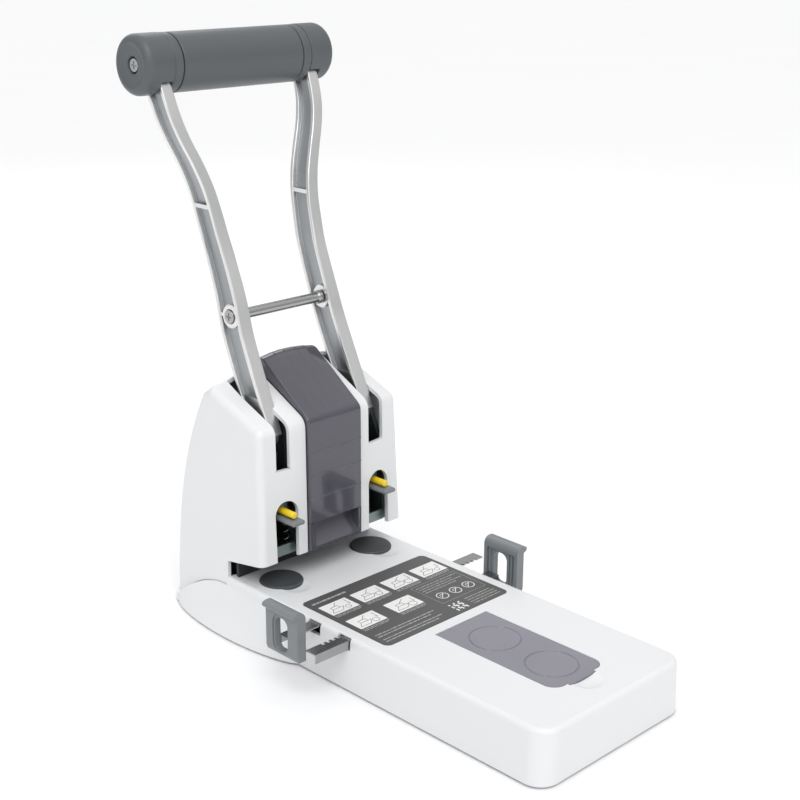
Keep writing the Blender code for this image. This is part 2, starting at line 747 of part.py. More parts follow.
def lever_arm(side, sign):
    rings = []
    for z, middle, front, depth, width in ARM_STATIONS:
        rings.append(arm_section(z, sign * middle, front, depth, width))
    arm = loft(f"lever_arm_{side}", rings)
    shank = [(0.0085, 0.1345), (0.0095, 0.1290), (0.0220, 0.1165), (0.0350, 0.1165), (0.0385, 0.1260)]
    shank += [(0.0345, 0.1560), (0.0165, 0.1560)]
    plate = flat_outline("arm_foot", [shank], sign * 0.0362, sign * 0.0432, "YZ")
    hub = cylinder("arm_hub", HUB_R, sign * HUB_X[0], sign * HUB_X[1], "X", (PIVOT_Y, PIVOT_Z), 20)
    boss = cylinder("crossbar_boss", BOSS_R, sign * 0.0337, sign * 0.0426, "X", (BOSS_Y, BOSS_Z), 18)
    rib = box("arm_rib", (sign * 0.0371, 0.0625, RIB_Z - 0.0013), (sign * 0.0445, 0.0785, RIB_Z + 0.0013))
    join(arm, plate, hub, boss, rib)
    cut(arm, cylinder("hub_bore", PIVOT_R + GAP, sign * 0.03, sign * 0.055, "X", (PIVOT_Y, PIVOT_Z), 16))
    cut(arm, cylinder("screw_bore", 0.0023, sign * 0.03, sign * 0.05, "X", (BOSS_Y, BOSS_Z), 12))
    cut(arm, cylinder("screw_seat", 0.0049, sign * 0.0414, sign * 0.05, "X", (BOSS_Y, BOSS_Z), 16))
    return arm


def cross_screw(name, sign, shank, head, centre):
    """A screw along X. shank and head are (radius, start, end) from the middle outwards."""
    radius, start, end = shank
    head_r, head_start, head_end = head
    screw = cylinder(name, radius, sign * start, sign * end, "X", centre, 12)
    join(screw, cylinder(name + "_head", head_r, sign * head_start, sign * head_end, "X", centre, 16))
    for tall, wide in ((0.0009, 0.0050), (0.0050, 0.0009)):
        low = (sign * (head_end - 0.0009), centre[0] - wide / 2, centre[1] - tall / 2)
        high = (sign * (head_end + 0.001), centre[0] + wide / 2, centre[1] + tall / 2)
        cut(screw, box(name + "_recess", low, high))
    return screw


def grip_cap(side, sign):
    """A cap turned about the grip, open below where the arm enters it."""
    small = 0.0050
    profile = [(ROD_R + GAP, GRIP_HALF - 0.0050), (0.0052, GRIP_HALF - 0.0050), (0.0056, GRIP_HALF - 0.0014)]
    profile += [(CAP_R - small + x, GRIP_HALF - small + y) for x, y in arc((0, 0), small, 90, 0, 4)]
    profile += [(CAP_R, CAP_SEAM + 0.0004), (GRIP_R - 0.0006, CAP_SEAM), (GRIP_R, CAP_SEAM - 0.0004)]
    profile += [(GRIP_R, CAP_START + 0.0004), (GRIP_R - 0.0004, CAP_START), (ROD_R + GAP, CAP_START)]
    cap = turned(f"grip_cap_{side}", profile, "X", (0, GRIP_Y, GRIP_Z), 28)
    if sign < 0:
        cap.rotation_euler = (0, -math.pi / 2, 0)
    cut(cap, box("arm_pocket", (sign * 0.0549, 0.0790, 0.330), (sign * 0.0642, 0.1022, 0.3530)))
    return cap


def lever_parts():
    made = {"arm_silver": [], "steel": [], "grip_grey": [], "frame_steel": []}
    for side, sign in SIDES.items():
        made["arm_silver"].append(lever_arm(side, sign))
        shank, head = (0.0020, 0.0333, 0.0420), (0.0045, 0.0417, 0.0436)
        made["steel"].append(cross_screw(f"crossbar_screw_{side}", sign, shank, head, (BOSS_Y, BOSS_Z)))
        made["grip_grey"].append(grip_cap(side, sign))
        shank, head = (0.0025, 0.0680, 0.0712), (0.0042, 0.0706, 0.0730)
        made["steel"].append(cross_screw(f"grip_screw_{side}", sign, shank, head, (GRIP_Y, GRIP_Z)))
        gear = [gear_outline(), arc((PIVOT_Y, PIVOT_Z), PIVOT_R + GAP, 0, 360, 16)[:-1]]
        name = f"drive_gear_{side}"
        made["frame_steel"].append(flat_outline(name, gear, sign * RACK_X[0], sign * RACK_X[1], "YZ"))
    bar = [(0, 0.0329), (0.0045, 0.0329), (0.0045, 0.0300), (0.0035, 0.0295)]
    bar += [(0.0035, -0.0295), (0.0045, -0.0300), (0.0045, -0.0329), (0, -0.0329)]
    made["steel"].append(turned("crossbar", bar, "X", (0, BOSS_Y, BOSS_Z), 16))
    tube = [(ROD_R + GAP, TUBE_HALF), (GRIP_R - 0.0005, TUBE_HALF), (GRIP_R, TUBE_HALF - 0.0005)]
    tube += [(GRIP_R, -TUBE_HALF + 0.0005), (GRIP_R - 0.0005, -TUBE_HALF), (ROD_R + GAP, -TUBE_HALF)]
    made["grip_grey"].append(turned("grip_tube", tube, "X", (0, GRIP_Y, GRIP_Z), 28))
    rod = cylinder("grip_rod", ROD_R, -0.0677, 0.0677, "X", (GRIP_Y, GRIP_Z), 16)
    made["steel"].append(rod)
    members = [obj for group in made.values() for obj in group]
    body_axis("lever_axis", (0, PIVOT_Y, PIVOT_Z), members)
    pins = []
    for side, sign in SIDES.items():
        centre = (PIVOT_Y, PIVOT_Z)
        pins.append(cylinder(f"pivot_pin_{side}", PIVOT_R, sign * 0.0239, sign * 0.0543, "X", centre, 16))
    made["steel"] += pins
    return made


# ---------------------------------------------------------------- tower


def rear_curve():
    """The tower's rear below its top edge, as (Y, Z) points down to the foot."""
    found = []
    for i in range(1, REAR_STEPS + 1):
        t = i / REAR_STEPS
        weights = ((1 - t) ** 3, 3 * t * (1 - t) ** 2, 3 * t**2 * (1 - t), t**3)
        point = [sum(w * p[k] for w, p in zip(weights, REAR_CURVE)) for k in (0, 1)]
        found.append(tuple(point))
    return found


def cheek_chain(outer):
    """The cheek's front, top and rear, as (Y, Z) from its front foot to its rear foot."""
    if outer:
        top = [(0.0005, 0.1375), (0.0030, 0.1420), (0.0490, 0.1600), (0.0550, 0.1565)]
    else:
        top = [(-0.0020, 0.1385), (0.0025, 0.1450), (0.0455, 0.1665), (0.0550, 0.1610)]
    return [CHEEK_FRONT_FOOT] + top + rear_curve()


def cheek_bottom():
    """The cheek's lower edge from its rear foot forward to the throat."""
    line = [(y, crest(y) + GAP) for y in reversed(CREST_STATIONS)]
    return line + [(THROAT_REAR, CREST_Z + GAP), (THROAT_REAR, THROAT_TOP)]


def cheek(side, sign):
    def side_x(z):
        return CHEEK_FOOT_X - CHEEK_DRAFT * z

    inner = cheek_chain(False) + cheek_bottom()
    outer = cheek_chain(True) + cheek_bottom()
    sections = [
        [(sign * CHEEK_INNER, y, z) for y, z in inner],
        [(sign * STRIP_EDGE, y, z) for y, z in inner],
        [(sign * side_x(z), y, z) for y, z in outer],
    ]
    shell = loft(f"tower_cheek_{side}", sections)
    weights = shell.data.attributes.new("bevel_weight_edge", "FLOAT", "EDGE")
    first = 2 * len(inner)
    rounded = range(first, first + len(cheek_chain(True)))
    for edge in shell.data.edges:
        low, high = sorted(edge.vertices)
        if low in rounded and high in rounded:
            weights.data[edge.index].value = 1.0
    bevel = shell.modifiers.new("Round", "BEVEL")
    bevel.width = CHEEK_ROUND
    bevel.segments = 3
    bevel.limit_method = "WEIGHT"
    hollow = []
    for x, is_outer in ((0.018, False), (STRIP_EDGE, False), (None, True)):
        chain = inset_chain(cheek_chain(is_outer), WALL)
        points = [(chain[0][0], 0.020)] + chain[1:-1]
        points += [(chain[-1][0], -0.01), (0.0350, -0.01), (0.0350, 0.020)]
        hollow.append([(sign * (x if x else side_x(z) - WALL), y, z) for y, z in points])
    cut(shell, loft("cheek_hollow", hollow))
    near, far = (sign * x for x in SLOT_X[side])
    cut(shell, box("arm_slot", (near, -0.02, SLOT_BOTTOM), (far, SLOT_REAR, 0.20)))
    window = arc((sign * HOLE_X, WINDOW_SPRING_Z), WINDOW_R, 0, 180, 10)
    window += [(sign * HOLE_X - WINDOW_R, 0.045), (sign * HOLE_X + WINDOW_R, 0.045)]
    cut(shell, flat_outline("pin_window", [window], -0.02, 0.004, "XZ"))
    return shell


def rear_cover():
    chain = [(0.0505, 0.1640), (0.0550, 0.1612)] + rear_curve()
    outline = chain + list(reversed(inset_chain(chain, WALL)))
    cover = flat_outline("tower_rear_cover", [outline], -0.0231, 0.0231, "YZ")
    for sign in SIDES.values():
        lug = arc(COVER_HINGE, KNUCKLE_R, 50, 230, 10) + [(0.0500, 0.1585), (0.0540, 0.1600)]
        join(cover, flat_outline("hinge_lug", [lug], sign * 0.0155, sign * 0.0190, "YZ"))
        cut(cover, cylinder("lug_bore", COVER_BORE_R, sign * 0.01, sign * 0.0192, "X", COVER_HINGE, 16))
    return cover


def cover_rings(chain, half):
    """Rings across X for the chip cover, crowned above its shoulder."""
    rings = []
    for i in range(7):
        x = half * (i - 3) / 3
        crown = COVER_CROWN * (1 - (x / COVER_HALF) ** 2)
        ring = []
        for y, z in chain:
            lift = crown * min(max((z - 0.142) / 0.030, 0), 1)
            ring.append((x, y, z + lift))
        rings.append(ring)
    return rings


def chip_cover():
    front = [(-0.0050, COVER_BOTTOM), (-0.0048, 0.1385), (-0.0030, 0.1420)]
    top = [(0.0180, 0.1585), (0.0400, 0.1745), (0.0450, 0.1735)]
    chain = front + top
    depth = [(0.0440, 0.1690), (0.0380, 0.1620), (0.0230, 0.1490), (0.0075, 0.1340), (0.0075, COVER_BOTTOM)]
    cover = loft("chip_cover", cover_rings(chain + depth, COVER_HALF))
    near = inset_chain(chain, COVER_WALL)
    near = [(near[0][0], 0.060)] + near[1:-1] + [(0.060, near[-1][1])]
    cut(cover, loft("cover_hollow", cover_rings(near + [(0.060, 0.060)], COVER_HALF - COVER_WALL)))
    for sign in SIDES.values():
        knuckle = arc(COVER_HINGE, KNUCKLE_R, -60, 60, 8)
        knuckle += [(0.0440, 0.1735), (0.0300, 0.1640), (0.0380, 0.1620)]
        join(cover, flat_outline("knuckle", [knuckle], sign * 0.0193, sign * 0.0226, "YZ"))
        cut(cover, cylinder("knuckle_bore", COVER_BORE_R, sign * 0.0192, sign * 0.03, "X", COVER_HINGE, 16))
    body_axis("chip_cover_axis", (0, *COVER_HINGE), [cover])
    return cover


def tower_parts():
    cheeks = [cheek(side, sign) for side, sign in SIDES.items()]
    bin_body = box("chip_bin", (-COVER_HALF, -0.0050, 0.0536), (COVER_HALF, 0.0400, COVER_SEAM - 0.0002))
    cut(bin_body, box("bin_hollow", (-0.0208, 0.0060, 0.0556), (0.0208, 0.0380, 0.10)))
    cut(bin_body, cylinder("bin_scoop", 0.022, -0.0175, 0.0195, "X", (-0.018, 0.0735), 40))
    pin = cylinder("chip_cover_pin", 0.0015, -0.0224, 0.0224, "X", COVER_HINGE, 16)
    return {
        "housing_white": cheeks + [rear_cover()],
        "smoke": [chip_cover(), bin_body],
        "steel": [pin],
    }


# ---------------------------------------------------------------- side guides


def mirrored_y(points):
    return [(2 * RAIL_MIRROR_Y - y, z) for y, z in points]


def rail_notches(sign):
    """A comb of small cutters along the rail's free edge."""
    comb = bmesh.new()
    inner_edge = RAIL_FRONT if sign < 0 else 2 * RAIL_MIRROR_Y - RAIL_FRONT
    size = Matrix.Diagonal((0.002, 0.0044, 0.004, 1))
    for i in range(NOTCHES):
        centre = Matrix.Translation((-sign * (0.001 + NOTCH_PITCH * i), inner_edge, RAIL_TOP))
        bmesh.ops.create_cube(comb, size=1.0, matrix=centre @ size)
    return mesh_object("rail_notches", comb)


def guide_fence(side, sign, face, rear):
    """A fence whose inner face stands at face, with a lip that curls outwards along its top."""
    profile = [(0, FENCE_FOOT), (0, FENCE_TOP - FENCE_ROUND)]
    top_round = arc((FENCE_ROUND, FENCE_TOP - FENCE_ROUND), FENCE_ROUND, 180, 90, 5)
    profile += top_round[1:]
    profile += [(0.0080, FENCE_TOP - 0.0004), (0.0094, FENCE_TOP - 0.0018), (0.0088, FENCE_TOP - 0.0036)]
    profile += [(FENCE_THICK, FENCE_TOP - 0.0046), (FENCE_THICK, FENCE_FOOT)]
    outline = [(face + sign * x, z) for x, z in profile]
    fence = flat_outline(f"guide_fence_{side}", [outline], rear - FENCE_LENGTH, rear, "XZ")
    round_edges(fence, 0.0008, 1, 50)
    slot = rounded_rectangle((rear - 0.0190, 0.0268), (rear - 0.0075, 0.0490), 0.0050)
    low, high = face - sign * 0.01, face + sign * 0.02
    cut(fence, flat_outline("fence_slot", [slot], low, high, "YZ"))
    return fence


def guide_parts():
    """Each guide is a fence on a long rail that runs right across the base."""
    section = [(RAIL_FRONT, RAIL_TOP - RAIL_SHEET), (RAIL_FRONT, RAIL_TOP), (RAIL_REAR, RAIL_TOP)]
    section += [(RAIL_REAR, RAIL_FLANGE_Z), (RAIL_REAR - RAIL_SHEET, RAIL_FLANGE_Z)]
    section += [(RAIL_REAR - RAIL_SHEET, RAIL_TOP - RAIL_SHEET)]
    made = {"steel": [], "guide_grey": []}
    places = {
        "left": (-0.0870, -0.0445, 0.0845),
        "right": (0.0710, -0.0715, -0.0900),
    }
    for side, sign in SIDES.items():
        face, rear, rail_end = places[side]
        outline = section if sign < 0 else mirrored_y(section)
        rail = flat_outline(f"guide_rail_{side}", [outline], face - sign * GAP, rail_end, "YZ")
        cut(rail, rail_notches(sign))
        fence = guide_fence(side, sign, face, rear)
        body_axis(f"guide_{side}_axis", (face, rear - 0.0145, RAIL_TOP), [rail, fence])
        made["steel"].append(rail)
        made["guide_grey"].append(fence)
    return made


def main():
    machine = (base_parts, spare_lid, frames, punch_plates, cutting_discs, rams)
    for build in machine + (lever_parts, tower_parts, guide_parts):
        for slot, objects in build().items():
            for obj in objects:
                own_material(obj, slot)


clear_scene()
PARTS = new_collection("lever_hole_punch")
CUTTERS = new_collection("cutters")
CUTTERS.hide_render = True
main()
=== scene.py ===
"""Looks of the lever hole punch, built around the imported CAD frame. Lengths are in metres."""

import json
import math

import bmesh
import bpy
from mathutils import Matrix, Vector


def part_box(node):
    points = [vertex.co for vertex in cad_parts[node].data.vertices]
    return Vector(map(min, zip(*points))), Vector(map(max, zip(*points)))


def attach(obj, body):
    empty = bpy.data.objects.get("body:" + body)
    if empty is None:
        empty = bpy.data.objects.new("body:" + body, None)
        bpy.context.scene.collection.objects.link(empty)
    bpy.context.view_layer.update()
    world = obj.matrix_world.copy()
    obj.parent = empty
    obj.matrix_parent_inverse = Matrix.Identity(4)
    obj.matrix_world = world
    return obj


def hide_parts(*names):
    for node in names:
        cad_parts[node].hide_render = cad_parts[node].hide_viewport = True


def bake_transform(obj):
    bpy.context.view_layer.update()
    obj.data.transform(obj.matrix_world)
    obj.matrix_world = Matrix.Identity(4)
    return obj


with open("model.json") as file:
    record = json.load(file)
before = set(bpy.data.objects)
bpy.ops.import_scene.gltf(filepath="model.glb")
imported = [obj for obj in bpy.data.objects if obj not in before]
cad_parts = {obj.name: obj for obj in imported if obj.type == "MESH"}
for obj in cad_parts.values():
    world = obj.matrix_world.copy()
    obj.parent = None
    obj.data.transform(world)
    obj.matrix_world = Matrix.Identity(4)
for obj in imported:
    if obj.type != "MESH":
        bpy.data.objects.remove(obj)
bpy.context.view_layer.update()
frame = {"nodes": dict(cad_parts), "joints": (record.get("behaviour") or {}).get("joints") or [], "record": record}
NODES = frame["nodes"]
JOINTS = {joint["name"]: joint for joint in frame["joints"]}
SIDES = {"left": -1, "right": 1}

# Camera: aimed at a point near the middle of the base, from the front left.
CAMERA_AIM = Vector((0.00167, -0.06164, 0.16515))
CAMERA_AZIMUTH = -44.6
CAMERA_ELEVATION = 18.29
CAMERA_DISTANCE = 0.905
CAMERA_ROLL = 0.37
CAMERA_LENS = 66.7

# Lights: name, place, kind, size (a disc's width, or a sun's angle) and power.
LIGHTS = (
    ("key", (-0.5, -0.9, 1.6), "SUN", 0.7, 1.15),
    ("shine", (-1.1, -0.4, 0.9), "AREA", 0.7, 2.0),
    ("front", (-0.5, -1.6, 0.35), "AREA", 0.8, 1.5),
    ("rear", (0.5, 1.2, 1.1), "AREA", 0.9, 3.0),
)
LIGHT_AIM = Vector((0, -0.05, 0.12))

# Stage: the sky's colour at the horizon and overhead, how high it reaches full light, and the floor.
SKY_LOW = (0.35, 0.36, 0.375, 1)
SKY_HIGH = (0.90, 0.90, 0.90, 1)
SKY_FULL = 0.75
FLOOR_SIZE = 30
FLOOR_Z = -0.0002
FLOOR_TONES = ((0.90, 0.90, 0.905), (0.92, 0.92, 0.925))

# Moulded plastics: name, colour, roughness, grain, depth of grain, spread of tone and coat.
PLASTICS = (
    ("housing_white", (0.74, 0.75, 0.76), 0.34, 1500, 0.00001, 0.01, 0.12),
    ("grip_grey", (0.088, 0.098, 0.104), 0.42, 1100, 0.00003, 0.05, 0.0),
    ("guide_grey", (0.185, 0.200, 0.210), 0.34, 1300, 0.00002, 0.05, 0.0),
    ("disc_dark", (0.062, 0.067, 0.072), 0.52, 1400, 0.00003, 0.06, 0.0),
    ("label_grey", (0.085, 0.083, 0.082), 0.46, 1800, 0.00001, 0.05, 0.0),
    ("label_white", (0.80, 0.80, 0.79), 0.50, 1800, 0.00001, 0.03, 0.0),
    ("label_soft", (0.42, 0.42, 0.41), 0.50, 1800, 0.00001, 0.08, 0.0),
    ("dark_plastic", (0.020, 0.022, 0.023), 0.48, 1000, 0.00003, 0.08, 0.0),
    ("rubber", (0.020, 0.020, 0.021), 0.85, 700, 0.00006, 0.10, 0.0),
    ("pin_yellow", (0.86, 0.62, 0.02), 0.32, 1400, 0.00001, 0.05, 0.2),
)

# Metals: name, colour, roughness, stretch of the brush lines by axis, their depth and spread of tone.
METALS = (
    ("steel", (0.42, 0.42, 0.42), 0.24, (2, 30, 30), 0.000004, 0.04),
    ("tool_steel", (0.45, 0.46, 0.48), 0.20, (12, 12, 1), 0.00001, 0.06),
    ("frame_steel", (0.26, 0.31, 0.30), 0.40, (1, 1, 8), 0.00002, 0.10),
    ("arm_silver", (0.80, 0.80, 0.785), 0.32, (9, 9, 1), 0.00001, 0.03),
    # arm_web_painted_shade: a darker copy of arm_silver, painted shade and painted dark reflection for the arm's
    # recess beside its web
    ("arm_web_painted_shade", (0.40, 0.415, 0.43), 0.40, (9, 9, 1), 0.00001, 0.05),
)

# Smoky plastics: name and colour, and what the two share. The second is a lighter copy of smoke for the spare lid:
# painted light, standing in for the white deck showing through it.
SMOKES = (("smoke", (0.105, 0.102, 0.128)), ("smoke_painted_light", (0.31, 0.305, 0.365)))
SMOKE_CLEAR = 0.35
SMOKE_IOR = 1.46
SMOKE_COAT = 0.6
SMOKE_SPREAD = 0.10
SMOKE_ROUGHNESS = (0.08, 0.18)
SMOKE_RIPPLE = 0.00004

# Noise in the materials: a scale and a level of detail for each use.
PLASTIC_DRIFT = (14, 2)
PLASTIC_GLOSS = (90, 4)
GRAIN_DETAIL = 2
BRUSH_LINES = (60, 4)
METAL_GLOSS = (45, 3)
SMOKE_DRIFT = (25, 2)
SMOKE_GLOSS = (120, 3)
SMOKE_WAVES = (60, 2)
FLOOR_DRIFT = (3, 2)


# ---- materials


def shader_material(name, roughness, metallic=0.0, **sockets):
    made = bpy.data.materials.new(name)
    made.use_nodes = True
    shader = made.node_tree.nodes["Principled BSDF"]
    shader.inputs["Roughness"].default_value = roughness
    shader.inputs["Metallic"].default_value = metallic
    for socket, value in sockets.items():
        shader.inputs[socket.replace("_", " ")].default_value = value
    return made


def object_noise(material, scale, detail, stretch=(1, 1, 1)):
    """A noise texture in the object's own coordinates, stretched by axis."""
    nodes, links = material.node_tree.nodes, material.node_tree.links
    place = nodes.new("ShaderNodeTexCoord")
    mapping = nodes.new("ShaderNodeMapping")
    mapping.inputs["Scale"].default_value = stretch
    noise = nodes.new("ShaderNodeTexNoise")
    noise.inputs["Scale"].default_value = scale
    noise.inputs["Detail"].default_value = detail
    links.new(place.outputs["Object"], mapping.inputs["Vector"])
    links.new(mapping.outputs["Vector"], noise.inputs["Vector"])
    return noise.outputs["Fac"]


def vary_colour(material, source, first, second):
    """Base colour that drifts between two close tones."""
    nodes, links = material.node_tree.nodes, material.node_tree.links
    mix = nodes.new("ShaderNodeMix")
    mix.data_type = "RGBA"
    mix.inputs["A"].default_value = (*first, 1)
    mix.inputs["B"].default_value = (*second, 1)
    links.new(source, mix.inputs["Factor"])
    links.new(mix.outputs["Result"], nodes["Principled BSDF"].inputs["Base Color"])


def vary_roughness(material, source, low, high):
    nodes, links = material.node_tree.nodes, material.node_tree.links
    spread = nodes.new("ShaderNodeMapRange")
    spread.inputs["To Min"].default_value = low
    spread.inputs["To Max"].default_value = high
    links.new(source, spread.inputs["Value"])
    links.new(spread.outputs["Result"], nodes["Principled BSDF"].inputs["Roughness"])


def add_bump(material, source, distance):
    nodes, links = material.node_tree.nodes, material.node_tree.links
    bump = nodes.new("ShaderNodeBump")
    bump.inputs["Distance"].default_value = distance
    bump.inputs["Strength"].default_value = 1.0
    links.new(source, bump.inputs["Height"])
    links.new(bump.outputs["Normal"], nodes["Principled BSDF"].inputs["Normal"])


def tones(colour, spread):
    """Two close tones about a colour."""
    return [v * (1 - spread) for v in colour], [min(v * (1 + spread), 1.0) for v in colour]


def moulded(name, colour, roughness, grain, bump, spread, coat):
    """Moulded plastic: a broad drift of tone, a finer drift of gloss and a fine grain."""
    made = shader_material(name, roughness, Coat_Weight=coat)
    vary_colour(made, object_noise(made, *PLASTIC_DRIFT), *tones(colour, spread))
    vary_roughness(made, object_noise(made, *PLASTIC_GLOSS), roughness - 0.05, roughness + 0.06)
    add_bump(made, object_noise(made, grain, GRAIN_DETAIL), bump)
    return made


def brushed(name, colour, roughness, stretch, bump, spread):
    """Metal with fine lines drawn along the axis that stretch leaves smallest."""
    made = shader_material(name, roughness, 1.0)
    lines = object_noise(made, *BRUSH_LINES, stretch)
    vary_colour(made, lines, *tones(colour, spread))
    vary_roughness(made, object_noise(made, *METAL_GLOSS), roughness - 0.06, roughness + 0.08)
    add_bump(made, lines, bump)
    return made


def smoky(name, colour):
    """Smoky plastic that lets a share of the light through."""
    shared = {"Transmission_Weight": SMOKE_CLEAR, "IOR": SMOKE_IOR, "Coat_Weight": SMOKE_COAT}
    made = shader_material(name, SMOKE_ROUGHNESS[1], **shared)
    vary_colour(made, object_noise(made, *SMOKE_DRIFT), *tones(colour, SMOKE_SPREAD))
    vary_roughness(made, object_noise(made, *SMOKE_GLOSS), *SMOKE_ROUGHNESS)
    add_bump(made, object_noise(made, *SMOKE_WAVES), SMOKE_RIPPLE)
    return made


def make_materials():
    made = {plastic[0]: moulded(*plastic) for plastic in PLASTICS}
    made.update({metal[0]: brushed(*metal) for metal in METALS})
    made.update({smoke[0]: smoky(*smoke) for smoke in SMOKES})
    return made


MATERIALS = make_materials()
SLOT_OF = {part["node"]: part["material_slot"] for part in frame["record"]["subparts"]}


def dress(obj, slot, material=None):
    """Gives an object one material: the slot's, unless another material is named."""
    obj.data.materials.clear()
    obj.data.materials.append(MATERIALS[material or slot])


# ---- mesh helpers


# Faces that meet within this many degrees count as one flat face.
FLAT_ANGLE = 0.4


def new_piece(name, edit):
    """An object from a bmesh, facing outwards."""
    bmesh.ops.recalc_face_normals(edit, faces=edit.faces)
    mesh = bpy.data.meshes.new(name)
    edit.to_mesh(mesh)
    edit.free()
    obj = bpy.data.objects.new(name, mesh)
    bpy.context.scene.collection.objects.link(obj)
    return obj


def block(low, high):
    """A helper box between two corners given in any order."""
    edit = bmesh.new()
    bmesh.ops.create_cube(edit, size=1.0)
    bmesh.ops.scale(edit, vec=[abs(b - a) for a, b in zip(low, high)], verts=edit.verts)
    bmesh.ops.translate(edit, vec=[(a + b) / 2 for a, b in zip(low, high)], verts=edit.verts)
    return new_piece("block", edit)


def bridge(edit, loops):
    """Faces from each closed loop of vertices to the next."""
    for lower, upper in zip(loops, loops[1:]):
        for i in range(len(lower)):
            j = (i + 1) % len(lower)
            edit.faces.new((lower[i], lower[j], upper[j], upper[i]))


def loft(name, rings):
    """A closed body through rings of points that all have the same count."""
    edit = bmesh.new()
    loops = [[edit.verts.new(point) for point in ring] for ring in rings]
    bridge(edit, loops)
    edit.faces.new(loops[0])
    edit.faces.new(loops[-1])
    return new_piece(name, edit)


def slab(name, outline, start, end, plane):
    """An outline of (u, v) points made thick across its plane, "YZ", "XZ" or "XY"."""
    order = {"YZ": (1, 2, 0), "XZ": (0, 2, 1), "XY": (0, 1, 2)}[plane]
    rings = []
    for depth in (start, end):
        ring = []
        for u, v in outline:
            point = [0, 0, 0]
            for axis, value in zip(order, (u, v, depth)):
                point[axis] = value
            ring.append(point)
        rings.append(ring)
    return loft(name, rings)


def turned(name, profile, axis, centre, steps=64):
    """A round body about X or Z from a closed profile of (radius, height) points."""
    edit = bmesh.new()
    loops = []
    for i in range(steps):
        turn = 2 * math.pi * i / steps
        loop = []
        for radius, height in profile:
            loop.append(edit.verts.new((radius * math.cos(turn), radius * math.sin(turn), height)))
        loops.append(loop)
    for i, loop in enumerate(loops):
        after = loops[(i + 1) % steps]
        for k in range(len(profile)):
            m = (k + 1) % len(profile)
            if profile[k][0] > 0 or profile[m][0] > 0:
                edit.faces.new((loop[k], loop[m], after[m], after[k]))
    bmesh.ops.remove_doubles(edit, verts=edit.verts, dist=1e-6)
    if axis == "X":
        bmesh.ops.transform(edit, matrix=Matrix.Rotation(math.pi / 2, 4, "Y"), verts=edit.verts)
    bmesh.ops.translate(edit, vec=centre, verts=edit.verts)
    return new_piece(name, edit)


def rod(radius, near, far, centre, sign=1, steps=24, edge=0.0):
    """A helper cylinder along X about (Y, Z), from near to far out on one side, chamfered by edge."""
    start, end = sorted((sign * near, sign * far))
    if edge:
        profile = [(0, start), (radius - edge, start), (radius, start + edge)]
        profile += [(radius, end - edge), (radius - edge, end), (0, end)]
    else:
        profile = [(0, start), (radius, start), (radius, end), (0, end)]
    return turned("rod", profile, "X", (0, *centre), steps)


def bake(obj):
    """Puts the object's modifiers into its own mesh."""
    bpy.context.view_layer.update()
    graph = bpy.context.evaluated_depsgraph_get()
    mesh = bpy.data.meshes.new_from_object(obj.evaluated_get(graph))
    obj.modifiers.clear()
    obj.data = mesh


def combine(obj, operation, tools):
    for tool in tools:
        modifier = obj.modifiers.new("Boolean", "BOOLEAN")
        modifier.object = tool
        modifier.operation = operation
        modifier.solver = "EXACT"
    bake(obj)
    for tool in tools:
        bpy.data.objects.remove(tool, do_unlink=True)


def cut(obj, *tools):
    combine(obj, "DIFFERENCE", tools)


def join(obj, *tools):
    combine(obj, "UNION", tools)


def soften(obj, width, segments=2, angle=32, weld=0.00001):
    """Rounds an object's hard edges with modifiers, which leave its own mesh alone."""
    for polygon in obj.data.polygons:
        polygon.use_smooth = True
    merge = obj.modifiers.new("Weld", "WELD")
    merge.merge_threshold = weld
    flat = obj.modifiers.new("Flat", "DECIMATE")
    flat.decimate_type = "DISSOLVE"
    flat.angle_limit = math.radians(FLAT_ANGLE)
    bevel = obj.modifiers.new("Bevel", "BEVEL")
    bevel.width = width
    bevel.segments = segments
    bevel.limit_method = "ANGLE"
    bevel.angle_limit = math.radians(angle)
    bevel.use_clamp_overlap = True
    normals = obj.modifiers.new("Normals", "WEIGHTED_NORMAL")
    normals.keep_sharp = True


def place(obj, body, slot, replaced, rounding, material=None, **how):
    """Finishes a piece: its look, its rounded edges, its body and the CAD nodes it stands for."""
    dress(obj, slot, material)
    soften(obj, rounding, **how)
    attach(obj, body)
    if replaced:
        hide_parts(*replaced)
    return obj


def arc(centre, radius, start, end, steps):
    """Points on an arc, in degrees."""
    found = []
    for i in range(steps + 1):
        turn = math.radians(start + (end - start) * i / steps)
        found.append((centre[0] + radius * math.cos(turn), centre[1] + radius * math.sin(turn)))
    return found


def rounded_rectangle(low, high, radius, steps=8):
    (x0, y0), (x1, y1) = low, high
    found = []
    for x, y, start in ((x1, y1, 0), (x0, y1, 90), (x0, y0, 180), (x1, y0, 270)):
        centre_x = x + math.copysign(radius, (x0 + x1) / 2 - x)
        centre_y = y + math.copysign(radius, (y0 + y1) / 2 - y)
        found += arc((centre_x, centre_y), radius, start, start + 90, steps)
    return found


def inset_chain(points, distance):
    """An open chain of points moved sideways by distance, to the right of its direction."""
    found = []
    for i, point in enumerate(points):
        normals = []
        before, after = points[max(i - 1, 0)], points[min(i + 1, len(points) - 1)]
        for start, end in ((before, point), (point, after)):
            along = (end[0] - start[0], end[1] - start[1])
            length = math.hypot(*along)
            if length > 0:
                normals.append((along[1] / length, -along[0] / length))
        total = (sum(n[0] for n in normals), sum(n[1] for n in normals))
        scale = distance * len(normals) / (total[0] ** 2 + total[1] ** 2)
        found.append((point[0] + total[0] * scale, point[1] + total[1] * scale))
    return found


def filleted(points, radius, steps=6):
    """A chain with each corner between its ends rounded; radius may be a list, one per corner."""
    radii = radius if isinstance(radius, (list, tuple)) else [radius] * (len(points) - 2)
    found = [points[0]]
    for before, corner, after, size in zip(points, points[1:], points[2:], radii):
        corner, before, after = Vector(corner), Vector(before), Vector(after)
        start = corner + (before - corner).normalized() * size
        end = corner + (after - corner).normalized() * size
        for i in range(steps + 1):
            t = i / steps
            point = start * (1 - t) ** 2 + corner * 2 * t * (1 - t) + end * t**2
            found.append(tuple(point))
    return found + [points[-1]]


